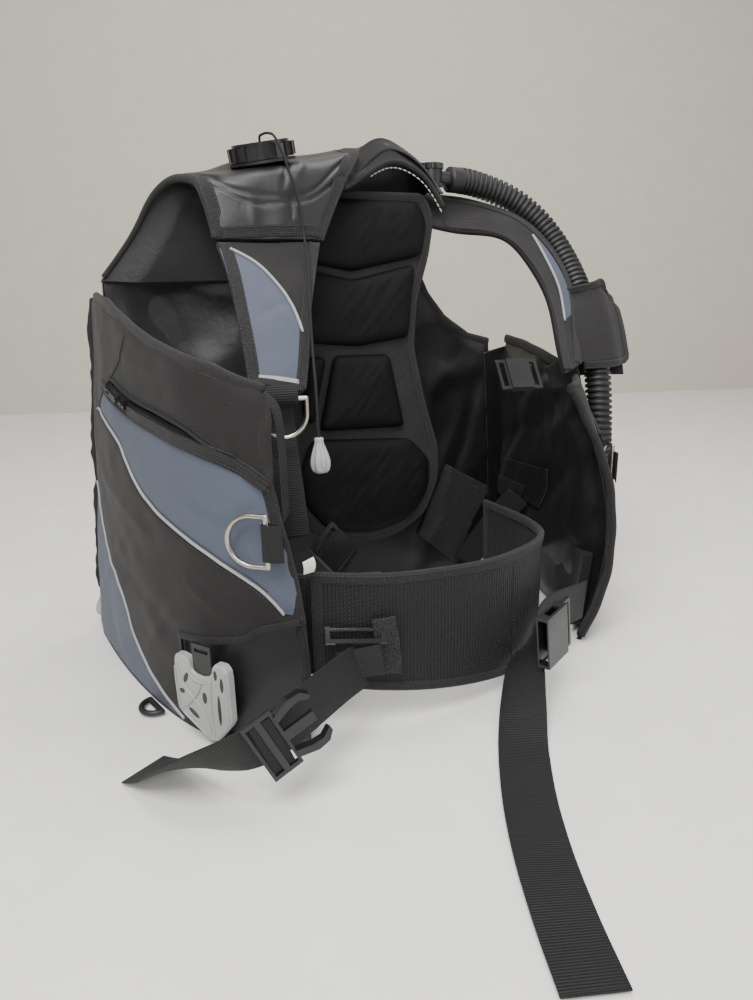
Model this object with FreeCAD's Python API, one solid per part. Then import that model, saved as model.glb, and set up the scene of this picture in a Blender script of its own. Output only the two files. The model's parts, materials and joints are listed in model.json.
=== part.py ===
import FreeCAD, Part
import math
import os

# Buoyancy compensator vest, standing on its lower edges.  Millimetres, +Z up.
# The wearer faces -Y, so the open chest is at -Y, the tank at +Y, and the wearer's right is -X.
# All outlines below are drawn about the middle of the back; FRAME_SHIFT then puts the
# origin on the floor under the middle of the finished vest.

V = FreeCAD.Vector

# ---------------------------------------------------------------- driving dimensions
FRAME_SHIFT = V(0, -58, 0)
WEBBING_WIDTH = 50.0
WEBBING_THICK = 1.8
SPAN_HEIGHT = 450.0           # the plan curves below are given at the floor and at this height

# right wing, outer face in plan, from its rear corner to its front edge
RIGHT_FLOOR = [(-340, 165), (-334, 100), (-320, 10), (-297, -80), (-262, -155), (-222, -195), (-182, -212)]
RIGHT_HIGH = [(-300, 150), (-300, 95), (-292, 10), (-273, -75), (-245, -145), (-212, -180), (-180, -195)]
RIGHT_TOP_EDGE = [(210, 452), (65, 442), (-68, 406), (-155, 387), (-186, 371), (-204, 345), (-260, 330)]
WING_THICK = 30.0
PANEL_THICK = 3.0

# left wing: it has slumped, so its sections are given at three heights
LEFT_HEIGHTS = [0.0, 170.0, 345.0]
LEFT_PLANS = [
    [(338, 165), (324, 110), (303, 40), (283, -30), (266, -95), (245, -140), (216, -160)],
    [(330, 160), (318, 108), (300, 40), (284, -30), (271, -95), (262, -138), (250, -165)],
    [(315, 152), (305, 100), (290, 30), (272, -35), (250, -80), (226, -108), (203, -117)],
]
LEFT_TOP_EDGE = [(210, 374), (90, 364), (0, 350), (-70, 339), (-117, 331), (-200, 322)]

# back panel, front face in plan
BACK_FLOOR = [(-298, 150), (-200, 138), (-100, 112), (0, 104), (100, 112), (200, 138), (298, 150)]
BACK_HIGH = [(-262, 140), (-180, 130), (-95, 110), (0, 104), (95, 110), (180, 130), (262, 140)]
BACK_THICK = 16.0
BACK_TOP = 458.0
BACK_LEFT_EDGE = [(132, 700), (134, 458), (146, 436), (178, 402), (225, 372), (330, 345)]

# right shoulder: outer and inner edge of its top face, from the back over the top to the chest seam
RIGHT_SHOULDER = [
    ((-292, 142, 462), (6, 118, 462)),
    ((-246, 122, 524), (6, 116, 540)),
    ((-226, 100, 560), (6, 106, 592)),
    ((-214, 84, 571), (7, 92, 611)),
    ((-206, 60, 572), (6, 66, 610)),
    ((-196, 34, 566), (2, 40, 602)),
    ((-193, 22, 555), (-12, 27, 584)),
    ((-190, 14, 540), (-30, 18, 560)),
    ((-185, 2, 503), (-64, 2, 503)),
]
SHOULDER_CROWN = [0, 2, 7, 2, -6, 0, 13, 11, 0]      # how far the middle stands out at each station
SHOULDER_THICK = 20.0
RIGHT_STRAP = [
    ((-185, 0, 500), (-65, 0, 500)),
    ((-183, -25, 470), (-84, -27, 464)),
    ((-184, -55, 427), (-103, -55, 424)),
    ((-186, -85, 380), (-120, -85, 376)),
    ((-188, -98, 362), (-131, -102, 348)),
]
STRAP_THICK = 8.0

# collar: for each station across the nape, the rear foot, the ridge and the front lip
COLLAR = [
    (11, (122, 462), (84, 617), (50, 572)),
    (45, (122, 462), (82, 624), (61, 594)),
    (84, (122, 462), (84, 616), (66, 598)),
    (112, (124, 462), (82, 598), (60, 578)),
    (132, (126, 462), (76, 572), (50, 545)),
]
COLLAR_THICK = 12.0

LEFT_SHOULDER = [
    ((139, 62, 522), (139, 112, 574)),
    ((163, 54, 518), (176, 108, 566)),
    ((201, 24, 511), (226, 74, 552)),
    ((221, -14, 476), (268, 22, 512)),
    ((228, -50, 429), (284, -20, 452)),
    ((221, -84, 370), (264, -64, 384)),
    ((221, -98, 341), (248, -90, 349)),
]

# back pad: a plane that leans back, PAD_FOOT at PAD_FOOT_Z and PAD_LEAN per unit of height
PAD_FOOT = 4.0
PAD_FOOT_Z = 130.0
PAD_LEAN = 0.124
PAD_CELL_THICK = 13.0
PAD_BASE_THICK = 9.0
PAD_OUTLINE = [(0, 124), (44, 129), (84, 150), (106, 190), (110, 236), (94, 300), (82, 372), (90, 430),
               (113, 490), (124, 530), (112, 550)]
PAD_CELLS = [
    [(-100, 541), (100, 541), (112, 524), (100, 488), (0, 470), (-100, 488), (-112, 524)],
    [(-90, 478), (0, 460), (90, 478), (74, 386), (0, 378), (-74, 386)],
    [(-34, 368), (44, 366), (60, 270), (-62, 276)],
    [(-74, 368), (-44, 368), (-70, 282), (-84, 300)],
    [(-74, 266), (66, 254), (94, 224), (90, 184), (62, 148), (0, 137), (-62, 148), (-90, 184), (-94, 226)],
]

# cummerbund in plan (outer face), from its free end at the wearer's right round to the inside of the left wing
CUMMERBUND = [(-165, -186), (-100, -212), (-20, -222), (60, -209), (118, -182), (152, -148), (165, -108),
              (170, -50), (166, 10), (150, 60)]
CUMMERBUND_RIGHT = [(-176, -168), (-150, -182), (-96, -204)]
CUMMERBUND_THICK = 4.0
CUMMERBUND_TOP = (169.0, -0.055)      # height at x = 0, and change per mm of x
CUMMERBUND_FOOT = (28.0, -0.165)

# right shoulder dump valve
DUMP_SEAT = V(-109, 56, 592)
DUMP_AXIS = V(-0.18, -0.10, 1)
DUMP_RADIUS = 37.0
DUMP_HEIGHT = 19.0
DUMP_RIBS = 18
DUMP_CORD_DIAMETER = 2.8
DUMP_CORD_ROUTE = [(-111.5, 54.6, 605.7), (-113.4, 53.5, 616.5), (-112, 33, 617), (-110, 11, 612), (-104, 7, 596),
                   (-98, 6, 579), (-93, 0, 560), (-89, -2, 540), (-87.5, -4, 516), (-89, -18, 490),
                   (-97, -41, 458), (-106, -64, 422), (-114, -87, 384), (-121, -110, 350), (-124, -118, 320),
                   (-124, -120, 296)]
KNOB_LENGTH = 38.0
KNOB_RADIUS = 11.5

# rear dump valve, on the right air lobe
REAR_DUMP_SEAT = V(-262, 201, 112)
REAR_DUMP_RADIUS = 30.0
REAR_CORD_ROUTE = [(-282, 209, 112), (-297, 210, 110), (-309, 211, 99), (-318, 211, 82), (-324, 209, 63), (-328, 205, 43)]

# inflator hose and its fittings
HOSE_DIAMETER = 34.0
HOSE_ROUTE = [(163, 92, 585), (191, 93, 584), (222, 87, 576), (254, 73, 561), (281, 52, 534), (297, 30, 502),
              (304, 4, 466), (302, -24, 430), (297, -50, 391), (292, -72, 350), (288, -84, 316), (286, -90, 283),
              (288, -91, 249), (296, -84, 216), (308, -70, 186), (315, -56, 156.5)]
ELBOW_CENTRE = V(134, 91, 578)
INFLATOR_TOP = V(317, -52, 140)

# tank side
TANK_RADIUS = 92.0
TANK_Y = 242.0
TANK_BAND_Z = (318.0, 368.0)
BAND_THICK = 2.0
PLATE_Z = (150.0, 500.0)
CAM_ANGLE = 128.0             # where the cam buckle sits round the tank, degrees from +X
CAM_PIN_RADIUS = 2.5

# waist belt
RIGHT_BELT_ROUTE = [(-122, -214, 82), (-148, -229, 83), (-180, -247, 81), (-214, -264, 76), (-245, -276, 69),
                    (-276, -272, 60), (-302, -250, 46), (-319, -222, 29), (-331, -196, 13), (-343, -172, 4)]
RIGHT_BELT_ACROSS = [(0.30, 0.0, -0.95), (0.31, 0.0, -0.95), (0.33, 0.0, -0.94), (0.35, 0.0, -0.93),
                     (0.40, 0.05, -0.91), (0.50, 0.15, -0.85), (0.62, 0.30, -0.66), (0.74, 0.40, -0.36),
                     (0.82, 0.46, -0.10), (0.86, 0.48, 0.0)]
LEFT_BELT_ROUTE = [(205, -173, 66), (182, -183, 70), (156, -192, 74), (129, -200, 77), (103, -210, 74),
                   (82, -222, 62), (66, -237, 45), (50, -256, 27), (32, -280, 13), (8, -312, 5),
                   (-20, -354, 4), (-50, -404, 4), (-76, -456, 4), (-98, -508, 4), (-116, -556, 4)]
LEFT_BELT_ACROSS = [(0.0, 0.0, 1.0), (0.0, 0.0, 1.0), (0.05, 0.0, 1.0), (0.1, 0.0, 1.0), (0.2, -0.05, 0.97),
                    (0.40, -0.1, 0.90), (0.60, -0.2, 0.75), (0.75, -0.3, 0.50), (0.85, -0.4, 0.22),
                    (0.88, -0.45, 0.04), (0.87, -0.49, 0.0), (0.87, -0.49, 0.0), (0.89, -0.45, 0.0),
                    (0.92, -0.38, 0.0), (0.94, -0.34, 0.0)]

# zip, clip and rings on the wings, as fractions of the wing's length and heights
ZIP_HEIGHTS = (352.0, 281.0)
D_RING_WIRE = 2.5
D_RING_WIDTH = 50.0
D_RING_DEPTH = 40.0

CLEAR = 0.6                   # gap kept between sewn pieces that lie on each other


# ---------------------------------------------------------------- helpers
def lerp(a, b, t):
    return tuple(x + (y - x) * t for x, y in zip(a, b))


def plan_at(low, high, height, span=SPAN_HEIGHT):
    return [lerp(a, b, height / span) for a, b in zip(low, high)]


def left_plan_at(height):
    if height <= LEFT_HEIGHTS[1]:
        return plan_at(LEFT_PLANS[0], LEFT_PLANS[1], height, LEFT_HEIGHTS[1])
    rise = height - LEFT_HEIGHTS[1]
    return plan_at(LEFT_PLANS[1], LEFT_PLANS[2], rise, LEFT_HEIGHTS[2] - LEFT_HEIGHTS[1])


def offset_points(points, distance):
    """Move a plan curve sideways: positive is to the left of its direction of travel."""
    moved = []
    for i, (x, y) in enumerate(points):
        ax, ay = points[max(i - 1, 0)]
        bx, by = points[min(i + 1, len(points) - 1)]
        length = math.hypot(bx - ax, by - ay)
        moved.append((x - (by - ay) / length * distance, y + (bx - ax) / length * distance))
    return moved


def spline_edge(points, height):
    curve = Part.BSplineCurve()
    curve.interpolate([V(x, y, height) for x, y in points])
    return curve.toShape()


def band_wire(points, start, end, height):
    outer = offset_points(points, start)
    inner = offset_points(points, end)[::-1]
    first = spline_edge(outer, height)
    second = spline_edge(inner, height)
    close_a = Part.makeLine(V(*outer[-1], height), V(*inner[0], height))
    close_b = Part.makeLine(V(*inner[-1], height), V(*outer[0], height))
    return Part.Wire([first, close_a, second, close_b])


def wall(plans, heights, start, end):
    """A standing wall between two offsets of a plan curve."""
    wires = [band_wire(plan, start, end, height) for plan, height in zip(plans, heights)]
    return Part.makeLoft(wires, True, True)


def prism(points, plane, low, high):
    """Extrude a closed polygon: plane 'yz' along X, 'xz' along Y, 'xy' along Z."""
    lift = {"yz": lambda a, b: V(low, a, b), "xz": lambda a, b: V(a, low, b), "xy": lambda a, b: V(a, b, low)}
    along = {"yz": V(high - low, 0, 0), "xz": V(0, high - low, 0), "xy": V(0, 0, high - low)}
    corners = [lift[plane](a, b) for a, b in points]
    face = Part.Face(Part.makePolygon(corners + corners[:1]))
    return face.extrude(along[plane])


def above(profile, plane, low, high, ceiling=900.0):
    """Everything above a profile line, to cut a slanted top edge."""
    return prism(profile + [(profile[-1][0], ceiling), (profile[0][0], ceiling)], plane, low, high)


def below(profile, plane, low, high):
    return prism(profile + [(profile[-1][0], -300.0), (profile[0][0], -300.0)], plane, low, high)


def sheet_loft(edges, thick, crowns=None):
    """A strap or shoulder through pairs of edge points of its outer face, thickened inwards."""
    wires = []
    for i, (a, b) in enumerate(edges):
        a, b = V(*a), V(*b)
        before = V(*lerp(*edges[max(i - 1, 0)], 0.5))
        after = V(*lerp(*edges[min(i + 1, len(edges) - 1)], 0.5))
        outward = (after - before).cross(b - a).normalize()
        crown = (a + b) * 0.5 + outward * (crowns[i] if crowns else 0.0)
        inward = outward * -thick
        wires.append(Part.makePolygon([a, crown, b, b + inward, crown + inward, a + inward, a]))
    return Part.makeLoft(wires, True, True)


def placed(shape, origin, z_axis, x_axis=V(1, 0, 0)):
    """Put a shape made at the origin where its local Z and X axes point as given."""
    z = V(z_axis).normalize()
    y = z.cross(V(x_axis)).normalize()
    x = y.cross(z)
    matrix = FreeCAD.Matrix(x.x, y.x, z.x, origin.x, x.y, y.y, z.y, origin.y, x.z, y.z, z.z, origin.z, 0, 0, 0, 1)
    moved = shape.copy()
    moved.Placement = FreeCAD.Placement(matrix).multiply(shape.Placement)
    return moved


def box(x0, x1, y0, y1, z0, z1):
    return Part.makeBox(x1 - x0, y1 - y0, z1 - z0, V(x0, y0, z0))


def cylinder(radius, z0, z1, centre=(0, 0)):
    return Part.makeCylinder(radius, z1 - z0, V(centre[0], centre[1], z0))


def ring(outer, inner, z0, z1):
    return cylinder(outer, z0, z1).cut(cylinder(inner, z0 - 1, z1 + 1))


def rounded_route(points, share=0.45):
    """Straight runs joined by tangent arcs, each as large as its two runs allow."""
    corners = [V(*p) for p in points]
    edges = []
    radii = []
    start = corners[0]
    for before, corner, after in zip(corners, corners[1:], corners[2:]):
        into = (corner - before).normalize()
        out = (after - corner).normalize()
        turn = into.getAngle(out)
        reach = share * min((corner - before).Length, (after - corner).Length)
        radii.append(reach / math.tan(turn / 2))
        first = corner - into * reach
        last = corner + out * reach
        middle = (first + last) * 0.5
        sag = radii[-1] * (1 / math.cos(turn / 2) - 1)
        crown = corner + (middle - corner).normalize() * sag
        edges.append(Part.makeLine(start, first))
        edges.append(Part.Arc(first, crown, last).toShape())
        start = last
    edges.append(Part.makeLine(start, corners[-1]))
    return Part.Wire(edges), radii


def tube(route, diameter, name):
    path, radii = rounded_route(route)
    start = V(*route[0])
    along = (V(*route[1]) - start).normalize()
    section = Part.Wire(Part.makeCircle(diameter / 2, start, along))
    solid = path.makePipeShell([section], True, False, 2)
    expected = math.pi * diameter ** 2 / 4 * path.Length
    print(name, "length", round(path.Length, 1), "radii", [round(r) for r in radii],
          "volume ratio", round(solid.Volume / expected, 4))
    return solid


def webbing(route, acrosses, width, thick, name):
    """Flat webbing along a route, with its width direction given at each point of the route."""
    path, radii = rounded_route(route)
    count = 2 * len(route)
    stations = path.discretize(Number=count)
    reached = [0.0]
    for a, b in zip(route, route[1:]):
        reached.append(reached[-1] + (V(*b) - V(*a)).Length)
    wires = []
    for i, point in enumerate(stations):
        along = stations[min(i + 1, count - 1)] - stations[max(i - 1, 0)]
        place = i / (count - 1) * reached[-1]
        low = max(k for k in range(len(route) - 1) if reached[k] <= place)
        share = (place - reached[low]) / (reached[low + 1] - reached[low])
        across = V(*lerp(acrosses[low], acrosses[low + 1], share))
        up = along.cross(across).normalize() * (thick / 2)
        side = up.cross(along).normalize() * (width / 2)
        corners = [point - side - up, point + side - up, point + side + up, point - side + up]
        wires.append(Part.makePolygon(corners + corners[:1]))
    solid = Part.makeLoft(wires, True, True)
    print(name, "length", round(path.Length, 1), "radii", [round(r) for r in radii],
          "volume ratio", round(solid.Volume / (width * thick * path.Length), 4))
    return solid


def group(*solids):
    return Part.makeCompound(list(solids))


def plan_point(plan, share):
    """A point on a plan curve and the direction of travel there."""
    curve = Part.BSplineCurve()
    curve.interpolate([V(x, y, 0) for x, y in plan])
    at = curve.parameterAtDistance(share * curve.length(), curve.FirstParameter)
    tangent = V(*curve.tangent(at)[0])
    return curve.value(at), tangent


# ---------------------------------------------------------------- shell
def make_right_wing():
    plans = [RIGHT_FLOOR, RIGHT_HIGH]
    body = wall(plans, [0, SPAN_HEIGHT], 0, WING_THICK)
    return body.cut(above(RIGHT_TOP_EDGE, "yz", -420, 0))


def make_left_wing():
    body = wall(LEFT_PLANS, LEFT_HEIGHTS, 0, -WING_THICK)
    return body.cut(above(LEFT_TOP_EDGE, "yz", 0, 420))


PANEL_DROP = 22.0             # the pocket panels stop this far below the wing's top edge
PANEL_FOOT = 6.0


def make_right_pocket_panel():
    heights = [PANEL_FOOT, 430]
    plans = [plan_at(RIGHT_FLOOR, RIGHT_HIGH, height) for height in heights]
    body = wall(plans, heights, -CLEAR - PANEL_THICK, -CLEAR)
    top = [(y, z - PANEL_DROP) for y, z in RIGHT_TOP_EDGE]
    return body.cut(above(top, "yz", -420, 0))


def make_left_pocket_panel():
    heights = [PANEL_FOOT, LEFT_HEIGHTS[1], 330]
    plans = [left_plan_at(height) for height in heights]
    body = wall(plans, heights, CLEAR, CLEAR + PANEL_THICK)
    top = [(y, z - PANEL_DROP) for y, z in LEFT_TOP_EDGE]
    return body.cut(above(top, "yz", 0, 420))


def make_back_panel():
    high = plan_at(BACK_FLOOR, BACK_HIGH, BACK_TOP)
    body = wall([BACK_FLOOR, high], [0, BACK_TOP], 0, BACK_THICK)
    left = BACK_LEFT_EDGE + [(330, 700)]
    return body.cut(prism(left, "xz", 60, 220))


def make_air_lobes():
    """Two bladder lobes, one each side of the tank; the left one has slumped lower."""
    foot = [(-110, 138), (-200, 162), (-300, 174), (-338, 174), (-344, 184), (-334, 196), (-210, 199), (-122, 184)]
    right = []
    left = []
    for height, narrow in ((58.0, 1.0), (448.0, 0.893)):
        corners = [V(x * narrow if x < -200 else x, y, height) for x, y in foot]
        right.append(Part.makePolygon(corners + corners[:1]))
    for height, narrow in ((58.0, 1.0), (340.0, 0.94)):
        corners = [V(-x * narrow if x < -200 else -x, y, height) for x, y in foot]
        left.append(Part.makePolygon(corners + corners[:1]))
    return group(Part.makeLoft(right, True, True), Part.makeLoft(left, True, True))


def make_collar():
    wires = []
    for x, rear, ridge, lip in COLLAR:
        outer = [rear, (rear[0] - 6, (rear[1] + ridge[1]) / 2 + 18), (ridge[0] + 12, ridge[1] - 6), ridge, lip]
        inner = [(lip[0] + 6, lip[1] - 8), (ridge[0] + 2, ridge[1] - COLLAR_THICK),
                 (ridge[0] + 12 - COLLAR_THICK / 2, ridge[1] - 6 - COLLAR_THICK),
                 (rear[0] - 6 - COLLAR_THICK, (rear[1] + ridge[1]) / 2 + 10), (rear[0] - COLLAR_THICK, rear[1])]
        corners = [V(x, y, z) for y, z in outer + inner]
        wires.append(Part.makePolygon(corners + corners[:1]))
    return Part.makeLoft(wires, True, True)


# ---------------------------------------------------------------- back pad
def pad_slab(outline, front, thick):
    """A slab in the pad's leaning plane, front measured forward from that plane."""
    def corner(x, z):
        return V(x, PAD_FOOT + PAD_LEAN * (z - PAD_FOOT_Z) - front, z)
    corners = [corner(x, z) for x, z in outline]
    face = Part.Face(Part.makePolygon(corners + corners[:1]))
    return face.extrude(V(0, thick, -PAD_LEAN * thick))


def make_pad_base():
    outline = PAD_OUTLINE + [(-x, z) for x, z in PAD_OUTLINE[:0:-1]]
    return pad_slab(outline, -PAD_CELL_THICK - 0.2, PAD_BASE_THICK)


def make_pad_cells():
    return group(*[pad_slab(cell, 0, PAD_CELL_THICK) for cell in PAD_CELLS])


# ---------------------------------------------------------------- cummerbund and belt
def make_cummerbund_left():
    body = wall([CUMMERBUND, CUMMERBUND], [0.5, 190], 0, CUMMERBUND_THICK)
    top = [(x, CUMMERBUND_TOP[0] + CUMMERBUND_TOP[1] * x) for x in (-200, 200)]
    foot = [(x, CUMMERBUND_FOOT[0] + CUMMERBUND_FOOT[1] * x) for x in (-200, 160)] + [(220, 1.6)]
    return body.cut(above(top, "xz", -260, 120)).cut(below(foot, "xz", -260, 120))


def make_cummerbund_right():
    return wall([CUMMERBUND_RIGHT, CUMMERBUND_RIGHT], [62, 172], 0, CUMMERBUND_THICK)


MALE_FRAME = (60.0, 30.0, 5.0)
PRONG_REACH = 36.0


def make_male_buckle():
    """Side-release male half: Y points to its prongs, X across the webbing, Z is up."""
    width, depth, thick = MALE_FRAME
    frame = box(-width / 2, width / 2, -depth / 2, depth / 2, -thick / 2, thick / 2)
    for y in (-7.5, 7.5):
        frame = frame.cut(box(-26, 26, y - 4.5, y + 4.5, -thick, thick))
    prong = box(-5, 5, depth / 2, depth / 2 + PRONG_REACH - 6, -thick / 2, thick / 2)
    arms = []
    for side in (-1, 1):
        outline = [(16, 14), (23, 14), (29, 32), (28, 44), (21, 51), (17, 49), (22, 40), (21, 30)]
        corners = [(side * x, y) for x, y in outline]
        arms.append(prism(corners, "xy", -thick, thick))
    return frame.fuse([prong] + arms).removeSplitter()


def make_female_buckle():
    """Side-release female half: Y points to its mouth."""
    shell = box(-30, 30, 0, 44, -7, 7).cut(box(-26.5, 26.5, 6, 50, -5.3, 5.3))
    for side in (-1, 1):
        shell = shell.cut(box(min(side * 24, side * 32), max(side * 24, side * 32), 12, 34, -4, 4))
    frame = box(-30, 30, -15, 0, -2.5, 2.5).cut(box(-26, 26, -11, -2.5, -4, 4))
    return shell.fuse(frame).removeSplitter()


BUCKLE_MALE_AT = V(-246, -287, 70)
BUCKLE_MALE_WAY = V(0.93, -0.02, 0.37)
BUCKLE_MALE_ACROSS = V(0.42, -0.16, -0.87)
BUCKLE_FEMALE_AT = V(102, -253, 88)
BUCKLE_FEMALE_WAY = V(-0.90, -0.40, -0.17)
BUCKLE_FEMALE_ACROSS = V(-0.1, 0.0, 1.0)
SLIDER_AT = V(-131, -215, 116)
SLIDER_BAR_RADIUS = 2.2
SLIDER_BAR_Y = 6.7


def make_slider_ring():
    """Flat ring that carries the belt webbing: X is its long way, and its upper bar is round."""
    frame = box(-31, 31, -9, 9, -2, 2).cut(box(-26, 26, -4.5, 10, -3, 3))
    bar = Part.makeCylinder(SLIDER_BAR_RADIUS, 56, V(-28, SLIDER_BAR_Y, 0), V(1, 0, 0))
    return frame.fuse(bar).removeSplitter()


def make_shoulder_buckle():
    """Small side-release buckle, closed: Y along the strap."""
    body = box(-20, 20, -14, 14, -5, 5)
    bars = []
    for end in (-1, 1):
        y0, y1 = sorted((end * 14, end * 27))
        slot0, slot1 = sorted((end * 17, end * 23))
        bars.append(box(-20, 20, y0, y1, -2, 2).cut(box(-16, 16, slot0, slot1, -3, 3)))
    return body.fuse(bars).removeSplitter()


# ---------------------------------------------------------------- rings
def make_d_ring():
    """D-ring with its bar along X at the origin, hanging to -Z."""
    half = D_RING_WIDTH / 2
    bar = Part.makeCylinder(D_RING_WIRE, D_RING_WIDTH, V(-half, 0, 0), V(1, 0, 0))
    leg = D_RING_DEPTH - half
    path = Part.Wire([
        Part.makeLine(V(-half, 0, 0), V(-half, 0, -leg)),
        Part.Arc(V(-half, 0, -leg), V(0, 0, -leg - half), V(half, 0, -leg)).toShape(),
        Part.makeLine(V(half, 0, -leg), V(half, 0, 0)),
    ])
    section = Part.Wire(Part.makeCircle(D_RING_WIRE, V(-half, 0, 0), V(0, 0, -1)))
    bow = path.makePipeShell([section], True, False, 2)
    ends = [Part.makeSphere(D_RING_WIRE, V(side * half, 0, 0)) for side in (-1, 1)]
    return bow.fuse([bar] + ends)


def make_ring_tab():
    """Webbing loop round a D-ring's bar: a tube over the bar and a flat tail to +Z."""
    width = D_RING_WIDTH - 14
    gap = D_RING_WIRE + 0.35
    outer = gap + WEBBING_THICK
    loop = Part.makeCylinder(outer, width, V(-width / 2, 0, 0), V(1, 0, 0))
    tail = box(-width / 2, width / 2, -outer, -outer + 2 * WEBBING_THICK, 0, 26)
    hole = Part.makeCylinder(gap, width + 2, V(-width / 2 - 1, 0, 0), V(1, 0, 0))
    return loop.fuse(tail).cut(hole)


# each ring: bar centre, direction of the bar, way the ring hangs, way its webbing tab leaves
RINGS = {
    "right_wing_d_ring": (V(-215, -209, 228), V(0, 0, 1), V(-0.74, 0.67, 0), V(0.74, -0.67, 0)),
    "left_wing_d_ring": (V(258, -149, 228), V(0, 0, 1), V(0.42, 0.91, 0), V(-0.42, -0.91, 0)),
    "right_shoulder_d_ring": (V(-160, -112.6, 343.5), V(0.95, -0.30, 0), V(0, 0, -1), V(0.165, 0.52, 0.84)),
}


def place_ring(name):
    centre, bar, hang, tail = RINGS[name]
    return placed(make_d_ring(), centre, -hang, bar)


def make_ring_tabs():
    return group(*[placed(make_ring_tab(), centre, tail, bar) for centre, bar, hang, tail in RINGS.values()])


RUBBER_RING_AT = V(-301, -66.4, 5.5)
RUBBER_RING_RADIUS = 16.0
RUBBER_WIRE = 3.2


def make_rubber_ring():
    """Half ring of rubber that lies on the floor, its straight bar along the wing's bottom edge."""
    bow = Part.makeTorus(RUBBER_RING_RADIUS, RUBBER_WIRE, V(0, 0, 0), V(0, 0, 1), -180, 180, 180)
    reach = RUBBER_RING_RADIUS
    bar = Part.makeCylinder(RUBBER_WIRE, 2 * reach, V(-reach, 0, 0), V(1, 0, 0))
    ends = [Part.makeSphere(RUBBER_WIRE, V(side * reach, 0, 0)) for side in (-1, 1)]
    return placed(bow.fuse([bar] + ends), RUBBER_RING_AT + V(-10, 2, 0), V(0, 0, 1), V(-0.22, 0.97, 0))


# ---------------------------------------------------------------- zips, clips and pouches
ZIP_TAPE_HALF = 8.0
ZIP_TAPE_THICK = 1.4
ZIP_REAR_Y = 26.0
ZIP_FRONT_Y = -186.0
ZIP_CHORD = ((-14.0, 340.0), (-40.0, 331.5))


def zip_line(plan_of_height, direction):
    """Where the slider sits on the wing's outer face, the zip's direction there, and the outward normal."""
    points = []
    for y, height in ZIP_CHORD:
        plan = plan_of_height(height)
        for (xa, ya), (xb, yb) in zip(plan, plan[1:]):
            if yb <= y <= ya:
                points.append(V(xa + (xb - xa) * (ya - y) / (ya - yb), y, height))
                break
    along = (points[1] - points[0]).normalize()
    outward = along.cross(V(0, 0, 1)).normalize() * direction
    return points[0], along, outward


def right_plan_of_height(height):
    return plan_at(RIGHT_FLOOR, RIGHT_HIGH, height)


def make_zip_tape(plan_of_height, side, face):
    heights = [250, 390] if side < 0 else [250, 340]
    start, end = sorted((face * (CLEAR * 2 + PANEL_THICK), face * (CLEAR * 2 + PANEL_THICK + ZIP_TAPE_THICK)))
    tape = wall([plan_of_height(height) for height in heights], heights, start, end)
    slope = (ZIP_HEIGHTS[0] - ZIP_HEIGHTS[1]) / (ZIP_REAR_Y - ZIP_FRONT_Y)
    drop = 0 if side < 0 else 22
    line = [(y, ZIP_HEIGHTS[0] - drop + slope * (y - ZIP_REAR_Y)) for y in (220, -220)]
    low, high = (-420, 0) if side < 0 else (0, 420)
    tape = tape.cut(above([(y, z + ZIP_TAPE_HALF) for y, z in line], "yz", low, high))
    tape = tape.cut(below([(y, z - ZIP_TAPE_HALF) for y, z in line], "yz", low, high))
    tape = tape.cut(box(low, high, ZIP_REAR_Y, 260, 0, 600))
    return tape.cut(box(low, high, -300, ZIP_FRONT_Y if side < 0 else -120, 0, 600))


def make_zip_slider():
    """Slider body with its pull, Y along the zip, Z out of the cloth."""
    body = box(-5, 5, -8, 8, 0, 5)
    bridge = box(-1.6, 1.6, -6, 6, 5, 7)
    pull = box(-3.5, 3.5, -34, -5, 7.2, 9.2).cut(box(-1.4, 1.4, -30, -22, 7, 10))
    neck = box(-1.4, 1.4, -8, -3, 5, 9.2)
    return body.fuse([bridge, pull, neck]).removeSplitter()


SLIDER_LIFT = CLEAR * 3 + PANEL_THICK + ZIP_TAPE_THICK + 1.0


def place_zip_slider(plan_of_height, side, drop):
    seat, along, outward = zip_line(lambda height: plan_of_height(height - drop), -side)
    seat = seat + outward * SLIDER_LIFT - V(0, 0, drop)
    return placed(make_zip_slider(), seat, outward, outward.cross(along) * -1)


def make_clip_body():
    """Pinch clip: X along the wing to the front, Z up, its back at Y = 0 and its face at -Y."""
    outline = [(-37, 32), (-28, 44), (30, 46), (37, 37), (37, -18), (15, -46), (3, -46), (-37, -22)]
    body = prism(outline, "xz", -10, 0)
    mouth = Part.makeCylinder(15, 14, V(1, 2, 42), V(0, -1, 0))
    body = body.cut(mouth).cut(box(-12.5, 14.5, -7, -3, -14, 60))
    for x0, x1, z0, z1 in ((20, 23.5, -14, 30), (28, 32, -14, 6), (-30, -22, 4, 26), (-28, -20, -14, -4),
                           (-14, -2, -34, -20)):
        body = body.cut(box(x0, x1, -12, -8, z0, z1))
    return body.removeSplitter()


def make_clip_prong():
    """Spring prong that enters the clip's mouth from above and carries a webbing slot."""
    blade = box(-11.5, 13.5, -6.4, -3.6, -12, 60)
    slot = box(-8, 10, -8, -2, 51, 55)
    window = box(-5, 7, -8, -2, -4, 20)
    return blade.cut(slot).cut(window)


def clip_seat(plan_of_height, share, side):
    point, tangent = plan_point(plan_of_height(50.0), share)
    outward = tangent.cross(V(0, 0, 1)).normalize() * -side
    x_axis = tangent if side < 0 else tangent * -1
    seat = point + outward * (PANEL_THICK + CLEAR * 2 + 2.8) + V(0, 0, 54)
    return seat, outward, x_axis


def place_on_clip(shape, plan_of_height, side):
    seat, outward, x_axis = clip_seat(plan_of_height, 0.755, side)
    y_axis = outward * -1
    z_axis = V(0, 0, 1)
    x = y_axis.cross(z_axis)
    return placed(shape, seat, z_axis, x)


POUCH_Y = (-186.0, -96.0)
POUCH_Z = (14.0, 108.0)
POUCH_DEPTH = (8.0, 22.0)


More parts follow.
